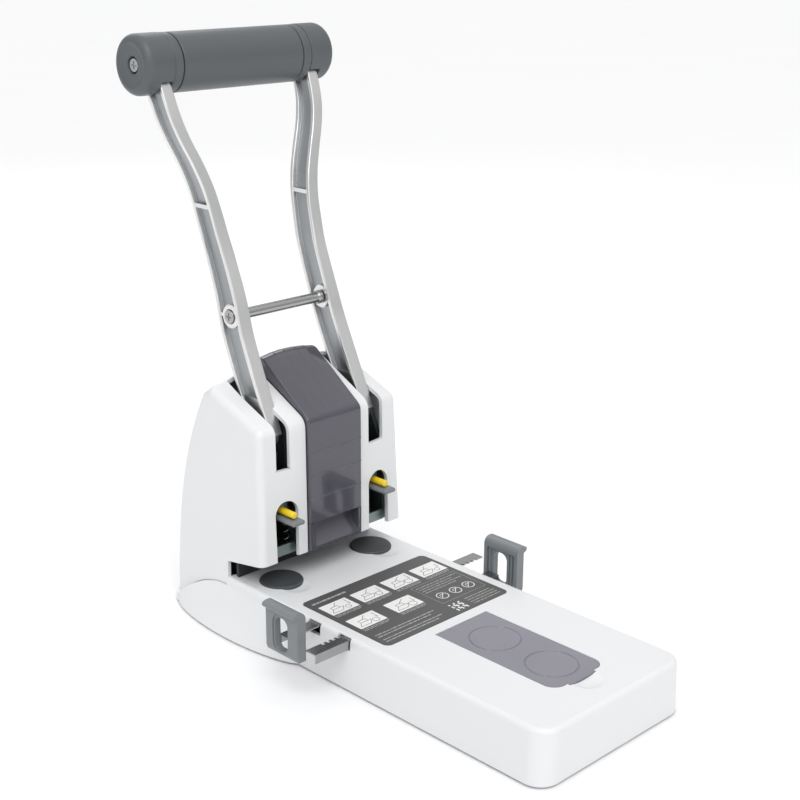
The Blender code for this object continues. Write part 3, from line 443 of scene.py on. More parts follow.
def bezier(controls, steps):
    """Points along a cubic curve with four control points."""
    found = []
    for i in range(steps + 1):
        t = i / steps
        weights = ((1 - t) ** 3, 3 * t * (1 - t) ** 2, 3 * t**2 * (1 - t), t**3)
        found.append(tuple(sum(w * p[k] for w, p in zip(weights, controls)) for k in (0, 1)))
    return found


# ---- stage


def shade_sky(tree):
    """A studio that is bright overhead and darker towards the horizon, for the metal to reflect."""
    place = tree.nodes.new("ShaderNodeTexCoord")
    split = tree.nodes.new("ShaderNodeSeparateXYZ")
    ramp = tree.nodes.new("ShaderNodeValToRGB")
    ramp.color_ramp.elements[0].position = 0.0
    ramp.color_ramp.elements[0].color = SKY_LOW
    ramp.color_ramp.elements[1].position = SKY_FULL
    ramp.color_ramp.elements[1].color = SKY_HIGH
    tree.links.new(place.outputs["Generated"], split.inputs["Vector"])
    tree.links.new(split.outputs["Z"], ramp.inputs["Fac"])
    tree.links.new(ramp.outputs["Color"], tree.nodes["Background"].inputs["Color"])
    tree.nodes["Background"].inputs["Strength"].default_value = 1.0


def make_floor():
    bpy.ops.mesh.primitive_plane_add(size=FLOOR_SIZE, location=(0, 0, FLOOR_Z))
    floor = bpy.context.object
    floor.name = "floor"
    made = shader_material("floor", 0.6)
    vary_colour(made, object_noise(made, *FLOOR_DRIFT), *FLOOR_TONES)
    floor.data.materials.append(made)


def make_light(name, place, kind, size, power):
    """A sun or a round area light that looks at the object."""
    light = bpy.data.lights.new(name, kind)
    if kind == "SUN":
        light.angle = size
    else:
        light.shape = "DISK"
        light.size = size
    light.energy = power
    holder = bpy.data.objects.new(name, light)
    holder.location = place
    aim = LIGHT_AIM - Vector(place)
    holder.rotation_euler = aim.to_track_quat("-Z", "Y").to_euler()
    bpy.context.scene.collection.objects.link(holder)


def make_stage():
    make_floor()
    world = bpy.data.worlds.new("studio")
    world.use_nodes = True
    shade_sky(world.node_tree)
    bpy.context.scene.world = world
    bpy.context.scene.view_settings.view_transform = "Standard"
    for light in LIGHTS:
        make_light(*light)


def make_camera():
    data = bpy.data.cameras.new("camera")
    data.lens = CAMERA_LENS
    data.sensor_width = 36
    data.clip_start = 0.01
    camera = bpy.data.objects.new("camera", data)
    azimuth, elevation = math.radians(CAMERA_AZIMUTH), math.radians(CAMERA_ELEVATION)
    flat = math.cos(elevation)
    back = Vector((math.sin(azimuth) * flat, -math.cos(azimuth) * flat, math.sin(elevation)))
    camera.location = CAMERA_AIM + back * CAMERA_DISTANCE
    turn = (-back).to_track_quat("-Z", "Y").to_matrix().to_4x4()
    roll = Matrix.Rotation(math.radians(CAMERA_ROLL), 4, "Z")
    camera.rotation_euler = (turn @ roll).to_euler()
    bpy.context.scene.collection.objects.link(camera)
    bpy.context.scene.camera = camera


# ---- base

DECK_Z = 0.0356
WALL = 0.0025
GAP = 0.0003
REAR_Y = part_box("base_housing")[1].y

# Plan of the base: half width at the floor, draft up to the deck, front edge and corner, rear round.
HALF_WIDTH = 0.065
DRAFT = 0.002
FRONT_Y = -0.239
CORNER_R = 0.013
REAR_START = 0.084
REAR_POWERS = (0.6, 0.8)

# Crest, where the base meets the tower's side: its height, where it starts to fall, and its end.
CREST_Z = 0.0298
CREST_START = 0.034
CREST_RUN = 0.058
CREST_LOW = 0.0065
THROAT_Y = 0.0325

# Flare of the foot beside the tower: its middle, its reach each way and how far it comes out.
FLARE_MIDDLE = 0.022
FLARE_REACH = 0.062
FLARE_OUT = 0.012

# Rounding at the base's bottom and top edges, as (Z, inset), and the levels of its hollow.
EDGE_R = 0.003
BOTTOM_EDGE = [(0.0012, 0.0004), (0.0018, 0)]
LEVEL_STEP = 0.0035
HOLLOW_LEVELS = (0.0, 0.004, 0.009, 0.015, 0.022, DECK_Z - WALL)

# Openings in the deck: the well under the tower, the discs' pockets and the rails' channels.
WELL = ((-0.056, 0.0307, 0.005), (0.056, 0.082, 0.05))
POCKET_Z = 0.026
RAIL_FLOOR = 0.0272
RAIL_MARGIN = (0.0008, 0.0014)
RAIL_MOUTH = 0.0615
SIDE_REACH = 0.09
LABEL_RECESS = 0.0006
LID_REAR = -0.1176
LID_FLOOR = 0.025

# Finger scoops: at the discs by shift from the disc, and before the lid; radius and depth.
DISC_SCOOP = (0.001, -0.0133, 0.0105)
LID_SCOOP = (0, -0.2156, 0.011)
SCOOP_DEPTH = 0.0013

def middle_of(node):
    """The middle of a CAD node's box, as (X, Y)."""
    low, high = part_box(node)
    return (low.x + high.x) / 2, (low.y + high.y) / 2


DISC = {name: middle_of(name) for name in ("cutting_disc_left", "cutting_disc_right")}
DISC_R = (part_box("cutting_disc_left")[1].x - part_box("cutting_disc_left")[0].x) / 2


def crest(y):
    """Height at which the base meets the tower's side, behind the throat."""
    fall = max(y - CREST_START, 0) / CREST_RUN
    return max(CREST_Z * (1 - fall**2), CREST_LOW)


def flare(y, z):
    """How far the foot of the base spreads beside the tower."""
    along = max(1 - ((y - FLARE_MIDDLE) / FLARE_REACH) ** 2, 0)
    rise = max(1 - z / CREST_Z, 0)
    return FLARE_OUT * along**0.7 * rise**1.5


def plan_ring(z, inset):
    """The base's outline at one height, moved in by inset."""

    def half(y):
        return HALF_WIDTH - DRAFT * z / DECK_Z + flare(y, z) - inset

    radius = CORNER_R - inset
    front = FRONT_Y + inset
    rear = REAR_Y - inset
    right = arc((half(front) - radius, front + radius), radius, -90, 0, 10)
    right += [(half(y), y) for y in (-0.20, -0.15, -0.10, -0.06)]
    right += [(half(y), y) for y in (-0.040 + 0.0045 * i for i in range(28))]
    for i in range(16):
        turn = math.pi / 2 * i / 16
        x = half(REAR_START) * math.cos(turn) ** REAR_POWERS[0]
        right.append((x, REAR_START + (rear - REAR_START) * math.sin(turn) ** REAR_POWERS[1]))
    return right + [(0, rear)] + [(-x, y) for x, y in reversed(right)]


def base_body(name, levels, inset):
    """The base's outline lofted through (Z, inset) levels, all moved in by inset."""
    return loft(name, [[(x, y, z) for x, y in plan_ring(z, inset + more)] for z, more in levels])


def above_crest(drop):
    """Everything above the crest behind the throat, lowered and brought forward by drop."""
    past_rear, above = 0.12, 0.06
    stations = [THROAT_Y + 0.0053 * i for i in range(11)]
    line = [(y - drop, crest(y) - drop) for y in stations]
    outline = line + [(past_rear, CREST_LOW - drop), (past_rear, above), (THROAT_Y - drop, above)]
    return slab("above_crest", outline, -0.1, 0.1, "YZ")


def sunk(outline_at, floor_z, lip=0.0003):
    """A cutter for a recess in the deck, flared at the top so that its rim is rounded."""
    levels = [(0, floor_z), (0, DECK_Z - lip)]
    levels += [(0.3 * lip, DECK_Z - 0.3 * lip), (1.2 * lip, DECK_Z + 0.2 * lip)]
    rings = [[(x, y, z) for x, y in outline_at(grow)] for grow, z in levels]
    return loft("sunk", rings)


def lid_outline(grow):
    """The spare lid's outline with its rounded front corners and its latch."""
    low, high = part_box("spare_lid")
    half, front, tip = high.x + grow, low.y + 0.002 - grow, low.y - grow
    radius, step = 0.008 + grow, 0.0115 + grow
    corner = arc((half - radius, front + radius), radius, 0, -90, 8)
    left = [(-x, y) for x, y in reversed(corner)]
    return corner + [(step, front), (step, tip), (-step, tip), (-step, front)] + left


def round_outline(centre, radius):
    return lambda grow: arc(centre, radius + grow, 0, 360, 72)[:-1]


def dish(centre, radius, depth):
    """A cutter for a shallow hollow in the deck that a fingertip fits."""
    above = DECK_Z + 0.002
    profile = [(0, DECK_Z - depth)]
    for i in range(1, 7):
        r = radius * i / 6
        profile.append((r, DECK_Z - depth * (1 - (i / 6) ** 3)))
    return turned("dish", profile + [(radius, above), (0, above)], "Z", (*centre, 0), 72)


def disc_tools():
    """Each disc's pocket and the scoop in front of it."""
    shift_x, shift_y, radius = DISC_SCOOP
    tools = []
    for x, y in DISC.values():
        tools.append(sunk(round_outline((x, y), DISC_R + GAP), POCKET_Z))
        tools.append(dish((x + shift_x, y + shift_y), radius, SCOOP_DEPTH))
    return tools


def rail_tools():
    """Each rail's channel across the base, and its mouth, open to the deck's edge, on both sides."""
    tools = []
    for rail in ("guide_rail_left", "guide_rail_right"):
        low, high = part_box(rail)
        front, rear = low.y - RAIL_MARGIN[0], high.y + RAIL_MARGIN[1]
        tools.append(block((-SIDE_REACH, front, RAIL_FLOOR), (SIDE_REACH, rear, high.z + GAP)))
        for sign in SIDES.values():
            mouth_low = (sign * RAIL_MOUTH, front, RAIL_FLOOR)
            tools.append(block(mouth_low, (sign * SIDE_REACH, rear, 0.05)))
    return tools


def base_shell():
    steps = [(BOTTOM_EDGE[-1][0] + LEVEL_STEP * i, 0) for i in range(1, 9)]
    quarter = [math.pi / 2 * i / 8 for i in range(9)]
    fillet = [(DECK_Z - EDGE_R + EDGE_R * math.sin(t), EDGE_R - EDGE_R * math.cos(t)) for t in quarter]
    shell = base_body("base_shell", BOTTOM_EDGE + steps + fillet, 0)
    hollow = base_body("hollow", [(z, 0) for z in HOLLOW_LEVELS], WALL)
    cut(hollow, above_crest(WALL))
    tools = [above_crest(0), hollow, block(*WELL)] + disc_tools() + rail_tools()
    tools.append(sunk(lambda grow: label_outline(GAP + grow), DECK_Z - LABEL_RECESS, 0.0002))
    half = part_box("spare_lid")[1].x + GAP
    lid_rear = [(-half, LID_REAR), (half, LID_REAR)]
    tools.append(sunk(lambda grow: lid_outline(GAP + grow) + lid_rear, LID_FLOOR, 0.0002))
    tools.append(dish(LID_SCOOP[:2], LID_SCOOP[2], SCOOP_DEPTH))
    cut(shell, *tools)
    place(shell, "base", "housing_white", ["base_housing"], 0.0003, weld=0.00003)


LABEL_R = 0.004
LABEL_EDGE = 0.0001


def label_outline(grow):
    low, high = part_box("label_plate")
    near, far = (low.x - grow, low.y - grow), (high.x + grow, high.y + grow)
    return rounded_rectangle(near, far, LABEL_R + grow)


def plate_label():
    low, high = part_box("label_plate")
    levels = ((0, low.z), (0, high.z - LABEL_EDGE), (-LABEL_EDGE, high.z))
    rings = [[(x, y, z) for x, y in label_outline(grow)] for grow, z in levels]
    place(loft("label_base", rings), "base", "label_grey", ["label_plate"], 0.00005)
    label_print()


def box_outline(x0, y0, x1, y1):
    return [(x0, y0), (x1, y0), (x1, y1), (x0, y1)]


def printed(name, outlines, material, height):
    """Thin raised print on the label from outlines, each a list of points."""
    edit = bmesh.new()
    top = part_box("label_plate")[1].z
    for shape in outlines:
        lower = [edit.verts.new((x, y, top - LABEL_EDGE)) for x, y in shape]
        upper = [edit.verts.new((x, y, top + height)) for x, y in shape]
        edit.faces.new(upper)
        edit.faces.new(lower)
        bridge(edit, [lower, upper])
    obj = new_piece(name, edit)
    dress(obj, "label_grey", material)
    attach(obj, "base")


def stroke(points, width, closed=False):
    """Quads along a line, so that it can be printed with a given width."""
    found = []
    ends = points[1:] + points[:1] if closed else points[1:]
    for (x0, y0), (x1, y1) in zip(points, ends):
        length = math.hypot(x1 - x0, y1 - y0)
        across = (-(y1 - y0) / length * width / 2, (x1 - x0) / length * width / 2)
        found.append([(x0 + across[0], y0 + across[1]), (x1 + across[0], y1 + across[1]),
                      (x1 - across[0], y1 - across[1]), (x0 - across[0], y0 - across[1])])
    return found


def word_row(x0, x1, y, height, seed):
    """A row of short bars between x0 and x1, like unreadable small print."""
    bars = []
    x = x0
    i = seed
    while x < x1 - 0.001:
        width = 0.0012 + 0.0009 * ((i * 7) % 4)
        bars.append(box_outline(x, y - height / 2, min(x + width, x1), y + height / 2))
        x += width + 0.0006
        i += 1
    return bars


# Places on the label as shares of its width from the left and of its depth from the rear.
FRAME_PLACES = [(u, 0.155) for u in (0.035, 0.280, 0.525, 0.770)] + [(0.035, 0.475), (0.330, 0.475)]
FRAME_SIZE = (0.205, 0.185)
TITLE = (0.035, 0.30, 0.085)
# Blocks of small print: first and last share across, what every other row is short by, rows, seed.
PRINT_BLOCKS = (
    (0.035, 0.50, 0.05, (0.815, 0.850, 0.905, 0.940), 0.0008, 0),
    (0.62, 0.95, 0.06, (0.455, 0.490, 0.525, 0.560), 0.0006, 3),
    (0.735, 0.96, 0.0, (0.845, 0.880, 0.915, 0.950), 0.0006, 5),
)
PRINT_BOX = ((0.600, 0.415), (0.965, 0.415), (0.965, 0.785), (0.600, 0.785))
RING_PLACES = ((0.675, 0.680), (0.785, 0.680), (0.895, 0.680))
RING_R = 0.0040
PATTERN_PLACE = (0.600, 0.960)
PATTERN_PITCH = 0.0014
PATTERN_SQUARE = 0.0013
LINE = 0.00035


def on_label(u, v):
    """The point at a share of the label's width and depth."""
    low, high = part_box("label_plate")
    return low.x + u * (high.x - low.x), high.y - v * (high.y - low.y)


def pictogram(x0, y0, x1, y1, k):
    """Line drawing of a punch in a frame; k varies its lever, arrow and ring a little."""
    w, h = x1 - x0, y1 - y0
    outline = [(0.10, 0.15), (0.48, 0.15), (0.62, 0.42), (0.24, 0.42)]
    tower = [(0.24, 0.42), (0.24, 0.62), (0.50, 0.62), (0.50, 0.42)]
    lever = [(0.40, 0.62), (0.55 + 0.06 * (k % 3), 0.90)]
    arrow = [(0.88, 0.86 - 0.1 * (k % 2)), (0.88, 0.40), (0.82, 0.52)]
    drawing = []
    for line, closed in ((outline, True), (tower, False), (lever, False), (arrow, False)):
        drawing += stroke([(x0 + a * w, y0 + b * h) for a, b in line], LINE, closed)
    ring = arc((x0 + 0.72 * w, y0 + 0.26 * h), 0.13 * h + 0.0004 * (k % 3), 0, 360, 20)[:-1]
    return drawing + stroke(ring, LINE, True)


def small_print():
    """Unreadable rows: a title, blocks of print and the frame about one block."""
    left, right, depth = TITLE
    small = word_row(on_label(left, 0)[0], on_label(right, 0)[0], on_label(0, depth)[1], 0.0016, 2)
    for left, right, short, rows, height, seed in PRINT_BLOCKS:
        for k, v in enumerate(rows):
            end = on_label(right - short * (k % 2), 0)[0]
            small += word_row(on_label(left, 0)[0], end, on_label(0, v)[1], height, k + seed)
    return small + stroke([on_label(u, v) for u, v in PRINT_BOX], 0.0002, True)


def crossed_ring(x, y):
    reach = RING_R * math.sqrt(0.5)
    found = stroke(arc((x, y), RING_R, 0, 360, 28)[:-1], 0.0006, True)
    found += stroke([(x - reach, y - reach), (x + reach, y + reach)], 0.0005)
    return found + stroke(arc((x, y), 0.0018, 20, 200, 10), 0.0004)


def square_pattern():
    """An abstract block of small squares, which encodes nothing."""
    x0, y0 = on_label(*PATTERN_PLACE)
    squares = []
    for i in range(7):
        for j in range(7):
            if (i * i + 2 * j + i * j) % 3 != 1:
                x, y = x0 + PATTERN_PITCH * i, y0 + PATTERN_PITCH * j
                squares.append(box_outline(x, y, x + PATTERN_SQUARE, y + PATTERN_SQUARE))
    return squares


def label_print():
    """Generic pictogram frames, three crossed rings and rows of unreadable print."""
    frames, drawing, captions, rings = [], [], [], []
    for k, (u, v) in enumerate(FRAME_PLACES):
        x0, y1 = on_label(u, v)
        x1, y0 = on_label(u + FRAME_SIZE[0], v + FRAME_SIZE[1])
        frames.append(box_outline(x0, y0, x1, y1))
        drawing += pictogram(x0, y0, x1, y1, k)
        for row in range(2):
            captions += word_row(x0, x1 - 0.002 * row, y0 - 0.0016 - 0.0015 * row, 0.0006, k + row)
    for u, v in RING_PLACES:
        rings += crossed_ring(*on_label(u, v))
    printed("label_frames", frames, "label_white", 0.00003)
    printed("label_drawings", drawing, "label_grey", 0.00006)
    printed("label_small_print", captions + small_print(), "label_soft", 0.00003)
    printed("label_rings", rings + square_pattern(), "label_white", 0.00003)


LID_THICK = 0.002
LID_EDGE = 0.0003
LID_REAR_EDGE = -0.1185
RING_GROOVE = [(0.0150, 0.0003), (0.0153, -0.0006), (0.0159, -0.0006), (0.0162, 0.0003)]


def spare_lid():
    """The smoky lid with a ring pressed in over each spare disc."""
    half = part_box("spare_lid")[1].x
    rear = [(-half, LID_REAR_EDGE), (half, LID_REAR_EDGE)]
    rings = []
    for grow, z in ((0, DECK_Z - LID_THICK), (0, DECK_Z - LID_EDGE), (-LID_EDGE, DECK_Z)):
        rings.append([(x, y, z) for x, y in lid_outline(grow) + rear])
    lid = loft("spare_disc_lid", rings)
    grooves = []
    for name in ("spare_disc_front", "spare_disc_rear"):
        grooves.append(turned("ring_groove", RING_GROOVE, "Z", (0, middle_of(name)[1], DECK_Z), 96))
    cut(lid, *grooves)
    # The spare lid's lighter smoke is painted light from the white deck beneath it.
    place(lid, "spare_lid", "smoke", ["spare_lid"], 0.00015, material="smoke_painted_light")


def cutting_discs():
    chamfer, round_r = 0.0004, 0.0006
    for name, (x, y) in DISC.items():
        foot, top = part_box(name)[0].z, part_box(name)[1].z
        profile = [(0, foot), (DISC_R - chamfer, foot), (DISC_R, foot + chamfer)]
        rim = arc((0, 0), round_r, 0, 90, 5)
        profile += [(DISC_R - round_r + a, top - round_r + b) for a, b in rim]
        profile += [(0, top)]
        disc = turned(name + "_body", profile, "Z", (x, y, 0), 96)
        place(disc, name, "disc_dark", [name], 0.0001, angle=60)


# ---- tower

COVER_HINGE = JOINTS["chip_cover_hinge"]["pos_m"][1:]
KNUCKLE_R = 0.0037
HINGE_BORE = 0.0018

# Cheeks: X of the inner face and of the raised strip, the arm slots' X and where the side creases.
CHEEK_INNER = 0.0235
STRIP_EDGE = 0.0343
ARM_SLOT = {"left": (0.0343, 0.0493), "right": (0.0312, 0.0450)}
CREASE_Y = 0.055
TAPER = 0.055
CHEEK_FOOT = (-0.0030, 0.0529)
CHEEK_ROUND = 0.0045
SIDE_AT_FLOOR = 0.0628
SIDE_LEAN = 0.025
THROAT_TOP = 0.0468
SLOT_FOOT = 0.1137
ABOVE_TOWER = 0.25
BEHIND_FRONT = 0.047
WINDOW_X = 0.040
WINDOW_R = 0.009
WINDOW_SPRING_Z = 0.0835
REAR_CURVE = ((0.0550, 0.1610), (0.0800, 0.1210), (0.0912, 0.0750), (0.0912, 0.0068))


def rear_curve(steps=20):
    return bezier(REAR_CURVE, steps)[1:]


def cheek_chain(outer):
    """The cheek's front, top and rear, as (Y, Z) from its front foot to its rear foot."""
    if outer:
        corners, radii = [(0.0010, 0.1412), (0.0500, 0.1604), (0.0550, 0.1565)], [0.004, 0.002]
    else:
        corners, radii = [(-0.0020, 0.1430), (0.0470, 0.1672), (0.0550, 0.1610)], [0.006, 0.003]
    return filleted([CHEEK_FOOT] + corners, radii, 5) + rear_curve()


def cheek_bottom():
    """The cheek's lower edge, from its rear foot along the crest to the throat."""
    stations = [0.0855, 0.082, 0.078, 0.074, 0.070, 0.066, 0.062, 0.0585]
    stations += [CREASE_Y, 0.050, 0.046, 0.042, 0.038, THROAT_Y]
    return [(y, crest(y) + GAP) for y in stations] + [(THROAT_Y, THROAT_TOP)]


def side_x(y, z):
    """X of the cheek's outer face, which leans in and tapers behind its crease."""
    return SIDE_AT_FLOOR - SIDE_LEAN * z - TAPER * max(y - CREASE_Y, 0)


def cheek_skin(side, sign):
    """The cheek's solid: inner face, raised strip and outer face, which is split at its crease."""
    inner = cheek_chain(False) + cheek_bottom()
    outer = cheek_chain(True) + cheek_bottom()
    edit = bmesh.new()
    loops = []
    for x, line in ((CHEEK_INNER, inner), (STRIP_EDGE, inner), (None, outer)):
        loops.append([edit.verts.new((sign * (x or side_x(y, z)), y, z)) for y, z in line])
    bridge(edit, loops)
    edit.faces.new(loops[0])
    cap = edit.faces.new(loops[-1])
    top = min(range(len(outer)), key=lambda i: abs(outer[i][0] - CREASE_Y) - outer[i][1])
    foot = len(cheek_chain(True)) + [y for y, _ in cheek_bottom()].index(CREASE_Y)
    bmesh.utils.face_split(cap, loops[-1][top], loops[-1][foot])
    return new_piece(f"tower_cheek_{side}_shell", edit)


def round_rim(shell):
    """Rounds the edge between the cheek's outer face and its front, top and rear."""
    first = 2 * len(cheek_chain(False) + cheek_bottom())
    rim = range(first, first + len(cheek_chain(True)))
    weights = shell.data.attributes.new("bevel_weight_edge", "FLOAT", "EDGE")
    for edge in shell.data.edges:
        a, b = edge.vertices
        if a in rim and b in rim and abs(a - b) == 1:
            weights.data[edge.index].value = 1.0
    bevel = shell.modifiers.new("Round", "BEVEL")
    bevel.width = CHEEK_ROUND
    bevel.segments = 8
    bevel.limit_method = "WEIGHT"
    bevel.use_clamp_overlap = False
    bake(shell)


def cheek_hollow(sign):
    """A cutter for the room inside the cheek, open at the bottom and towards the middle."""
    lip_z, below, front = 0.020, -0.01, 0.0350
    rings = []
    for x, is_outer in ((0.018, False), (STRIP_EDGE, False), (None, True)):
        chain = inset_chain(cheek_chain(is_outer), WALL)
        points = [(chain[0][0], lip_z)] + chain[1:-1]
        points += [(chain[-1][0], below), (front, below), (front, lip_z)]
        rings.append([(sign * (x or side_x(y, z) - WALL), y, z) for y, z in points])
    return loft("hollow", rings)


def cheek(side, sign):
    shell = cheek_skin(side, sign)
    round_rim(shell)
    middle, below = sign * WINDOW_X, 0.045
    window = arc((middle, WINDOW_SPRING_Z), WINDOW_R, 0, 180, 24)
    window += [(middle - WINDOW_R, below), (middle + WINDOW_R, below)]
    near, far = ARM_SLOT[side]
    slot = rounded_rectangle((sign * near, SLOT_FOOT), (sign * far, ABOVE_TOWER), 0.0012, 4)
    tools = [cheek_hollow(sign), slab("slot", slot, -0.02, BEHIND_FRONT, "XZ")]
    tools.append(slab("window", window, -0.02, 0.004, "XZ"))
    cut(shell, *tools)
    place(shell, "base", "housing_white", [f"tower_cheek_{side}"], 0.0004, weld=0.00003)


def rear_cover():
    """The rear wall between the cheeks, with the two lugs that hold the chip cover's pin."""
    low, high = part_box("tower_rear_cover")
    crown = [(0.0505, 0.1640), (0.0550, 0.1612), rear_curve()[0]]
    chain = filleted(crown, 0.001, 3)[:-1] + rear_curve()
    outline = chain + list(reversed(inset_chain(chain, WALL)))
    cover = slab("tower_rear_shell", outline, low.x, high.x, "YZ")
    lug = arc(COVER_HINGE, KNUCKLE_R, 50, 230, 20) + [(0.0500, 0.1585), (0.0540, 0.1600)]
    join(cover, *[slab("lug", lug, sign * 0.0155, sign * 0.0190, "YZ") for sign in SIDES.values()])
    cut(cover, *[rod(HINGE_BORE, 0.0145, 0.0200, COVER_HINGE, sign) for sign in SIDES.values()])
    place(cover, "base", "housing_white", ["tower_rear_cover"], 0.0004, weld=0.00003)


# Chip cover: its front face, its raised lines there by height, its top ribs by X and its crown.
COVER_FRONT = -0.0049
COVER_LINES = (0.0890, 0.1050, 0.1210)
COVER_RIBS = (0.0125, 0.0045)
COVER_CROWN = 0.0025
COVER_WALL = 0.002
COVER_CORNERS = ((-0.0047, 0.1432), (0.0400, 0.1745), (0.0450, 0.1735))
COVER_INSIDE = ((0.0440, 0.1690), (0.0380, 0.1620), (0.0230, 0.1490), (0.0075, 0.1340))


def cover_sections():
    """Places across the chip cover: X, how far the edge is rounded in, and the lift of a rib."""
    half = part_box("chip_cover")[1].x
    edges = ((0.0, 0.0012), (0.0002, 0.0007), (0.0006, 0.00025), (0.0013, 0.0))
    found = [(half - inward, drop, 0.0) for inward, drop in edges]
    for rib in COVER_RIBS:
        for offset, lift in ((0.0007, 0), (0.0003, 0.0004), (-0.0003, 0.0004), (-0.0007, 0)):
            found.append((rib + offset, 0.0, lift))
    return found + [(-x, drop, lift) for x, drop, lift in reversed(found)]


def cover_line(seam):
    """The chip cover up its front and over its top to the hinge, as (Y, Z)."""
    return filleted([(-0.0050, seam), *COVER_CORNERS], [0.0036, 0.003], 7)


def between(value, start, run):
    """How far value has gone from start through run, from 0 to 1."""
    return min(max((value - start) / run, 0), 1)


def crown_at(x, z):
    """How far the cover's crowned top stands above its edge."""
    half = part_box("chip_cover")[1].x
    return COVER_CROWN * (1 - (x / half) ** 2) * between(z, 0.142, 0.030)


def cover_outside():
    """The chip cover's outer line, as (Y, Z, share of a top rib) up its front and over its top."""
    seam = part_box("chip_cover")[0].z
    line = cover_line(seam)
    found = [line[0]]
    for height in COVER_LINES:
        for offset, out in ((-0.0007, 0), (-0.0003, 0.0003), (0.0003, 0.0003), (0.0007, 0)):
            found.append((COVER_FRONT - out, height + offset))
    found += line[1:]
    return [(y, z, between(z, 0.146, 0.006) * (1 if y < 0.042 else 0)) for y, z in found]


def cover_hollow(seam):
    """A cutter for the room inside the chip cover, which follows its crown."""
    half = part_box("chip_cover")[1].x
    below = 0.060
    near = inset_chain(cover_line(seam), COVER_WALL)
    near = [(near[0][0], below)] + near[1:-1] + [(below, near[-1][1]), (below, below)]
    rings = []
    for i in range(9):
        x = (half - COVER_WALL) * (i - 4) / 4
        rings.append([(x, y, z + crown_at(x, z)) for y, z in near])
    return loft("hollow", rings)


def cover_knuckle(sign):
    outline = arc(COVER_HINGE, KNUCKLE_R, -60, 60, 16)
    outline += [(0.0440, 0.1735), (0.0300, 0.1640), (0.0380, 0.1620)]
    return slab("knuckle", outline, sign * 0.0193, sign * 0.0226, "YZ")


def chip_cover():
    chain = cover_outside()
    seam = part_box("chip_cover")[0].z
    inside = [*COVER_INSIDE, (COVER_INSIDE[-1][0], seam)]
    rings = []
    for x, drop, rib in cover_sections():
        line = [(y, z) for y, z, _ in chain]
        if drop:
            line = inset_chain(line, drop)
        ring = []
        for (y, z), (_, _, share) in zip(line, chain):
            ring.append((x, y, z + crown_at(x, z) + rib * share))
        rings.append(ring + [(x, y, z) for y, z in inside])
    cover = loft("chip_cover_shell", rings)
    cut(cover, cover_hollow(seam))
    join(cover, *[cover_knuckle(sign) for sign in SIDES.values()])
    cut(cover, *[rod(HINGE_BORE, 0.0192, 0.03, COVER_HINGE, sign) for sign in SIDES.values()])
    place(cover, "chip_cover", "smoke", ["chip_cover"], 0.0003, weld=0.00003)


# Chip bin: its room, its finger scoop (a cylinder across X) and the X of its front grooves.
BIN_ROOM = ((-0.0208, 0.0060, 0.0556), (0.0208, 0.0380, 0.10))
BIN_SCOOP_R = 0.022
BIN_SCOOP_X = (-0.0175, 0.0195)
BIN_SCOOP_YZ = (-0.018, 0.0735)
BIN_GROOVES = (-0.0192, -0.0212, 0.0212)
BIN_GROOVE = 0.0005


def chip_bin():
    low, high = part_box("chip_bin")
    half = high.x
    right = [(half - 0.0012, low.y), (half - 0.0004, low.y + 0.0003), (half, low.y + 0.0012)]
    right.append((half, high.y))
    outline = [(-x, y) for x, y in reversed(right)] + right
    body = slab("chip_bin_body", outline, low.z, high.z, "XY")
    tools = [block(*BIN_ROOM), rod(BIN_SCOOP_R, *BIN_SCOOP_X, BIN_SCOOP_YZ, steps=96)]
    for x in BIN_GROOVES:
        groove_low = (x - BIN_GROOVE, low.y - 0.001, low.z + 0.0015)
        tools.append(block(groove_low, (x + BIN_GROOVE, low.y + BIN_GROOVE, high.z + 0.001)))
    cut(body, *tools)
    place(body, "base", "smoke", ["chip_bin"], 0.0003, weld=0.00003)


# ---- lever

# Each arm: height, distance from the middle, front face, depth and flange width.
ARM_LINE = (
    (0.1345, 0.0398, 0.0065, 0.0220, 0.0100),
    (0.1910, 0.0388, 0.0326, 0.0220, 0.0100),
    (0.2160, 0.0377, 0.0413, 0.0214, 0.0096),
    (0.2400, 0.0378, 0.0506, 0.0205, 0.0092),
    (0.2550, 0.0390, 0.0556, 0.0199, 0.0090),
    (0.2700, 0.0404, 0.0599, 0.0194, 0.0087),
    (0.2850, 0.0433, 0.0634, 0.0190, 0.0085),
    (0.3000, 0.0483, 0.0669, 0.0187, 0.0084),
    (0.3150, 0.0542, 0.0709, 0.0184, 0.0083),
    (0.3300, 0.0580, 0.0753, 0.0181, 0.0083),
    (0.3525, 0.0597, 0.0834, 0.0180, 0.0083),
)
FLANGE = 0.0030
WEB = 0.0026
FLANGE_ROUNDS = [0.0012, 0.0009, 0.0008, 0.0008, 0.0009, 0.0012]
ARM_STEPS = 60

# The arm's foot as (Y, Z), from its front edge round to its rear, and its X.
SHANK = (
    (0.0165, 0.1560),
    (0.0085, 0.1345),
    (0.0095, 0.1290),
    (0.0220, 0.1165),
    (0.0350, 0.1165),
    (0.0385, 0.1260),
    (0.0345, 0.1560),
)
SHANK_X = (0.0362, 0.0432)
PIVOT = JOINTS["lever_pivot"]["pos_m"][1:]
BOSS = (0.047, 0.2045)
# Ribs across the arm's recess, as the corners on the right arm.
ARM_RIBS = (
    ((0.0371, 0.0625, 0.2707), (0.0445, 0.0785, 0.2733)),
    ((0.0375, 0.0530, 0.2035), (0.0425, 0.0570, 0.2055)),
)


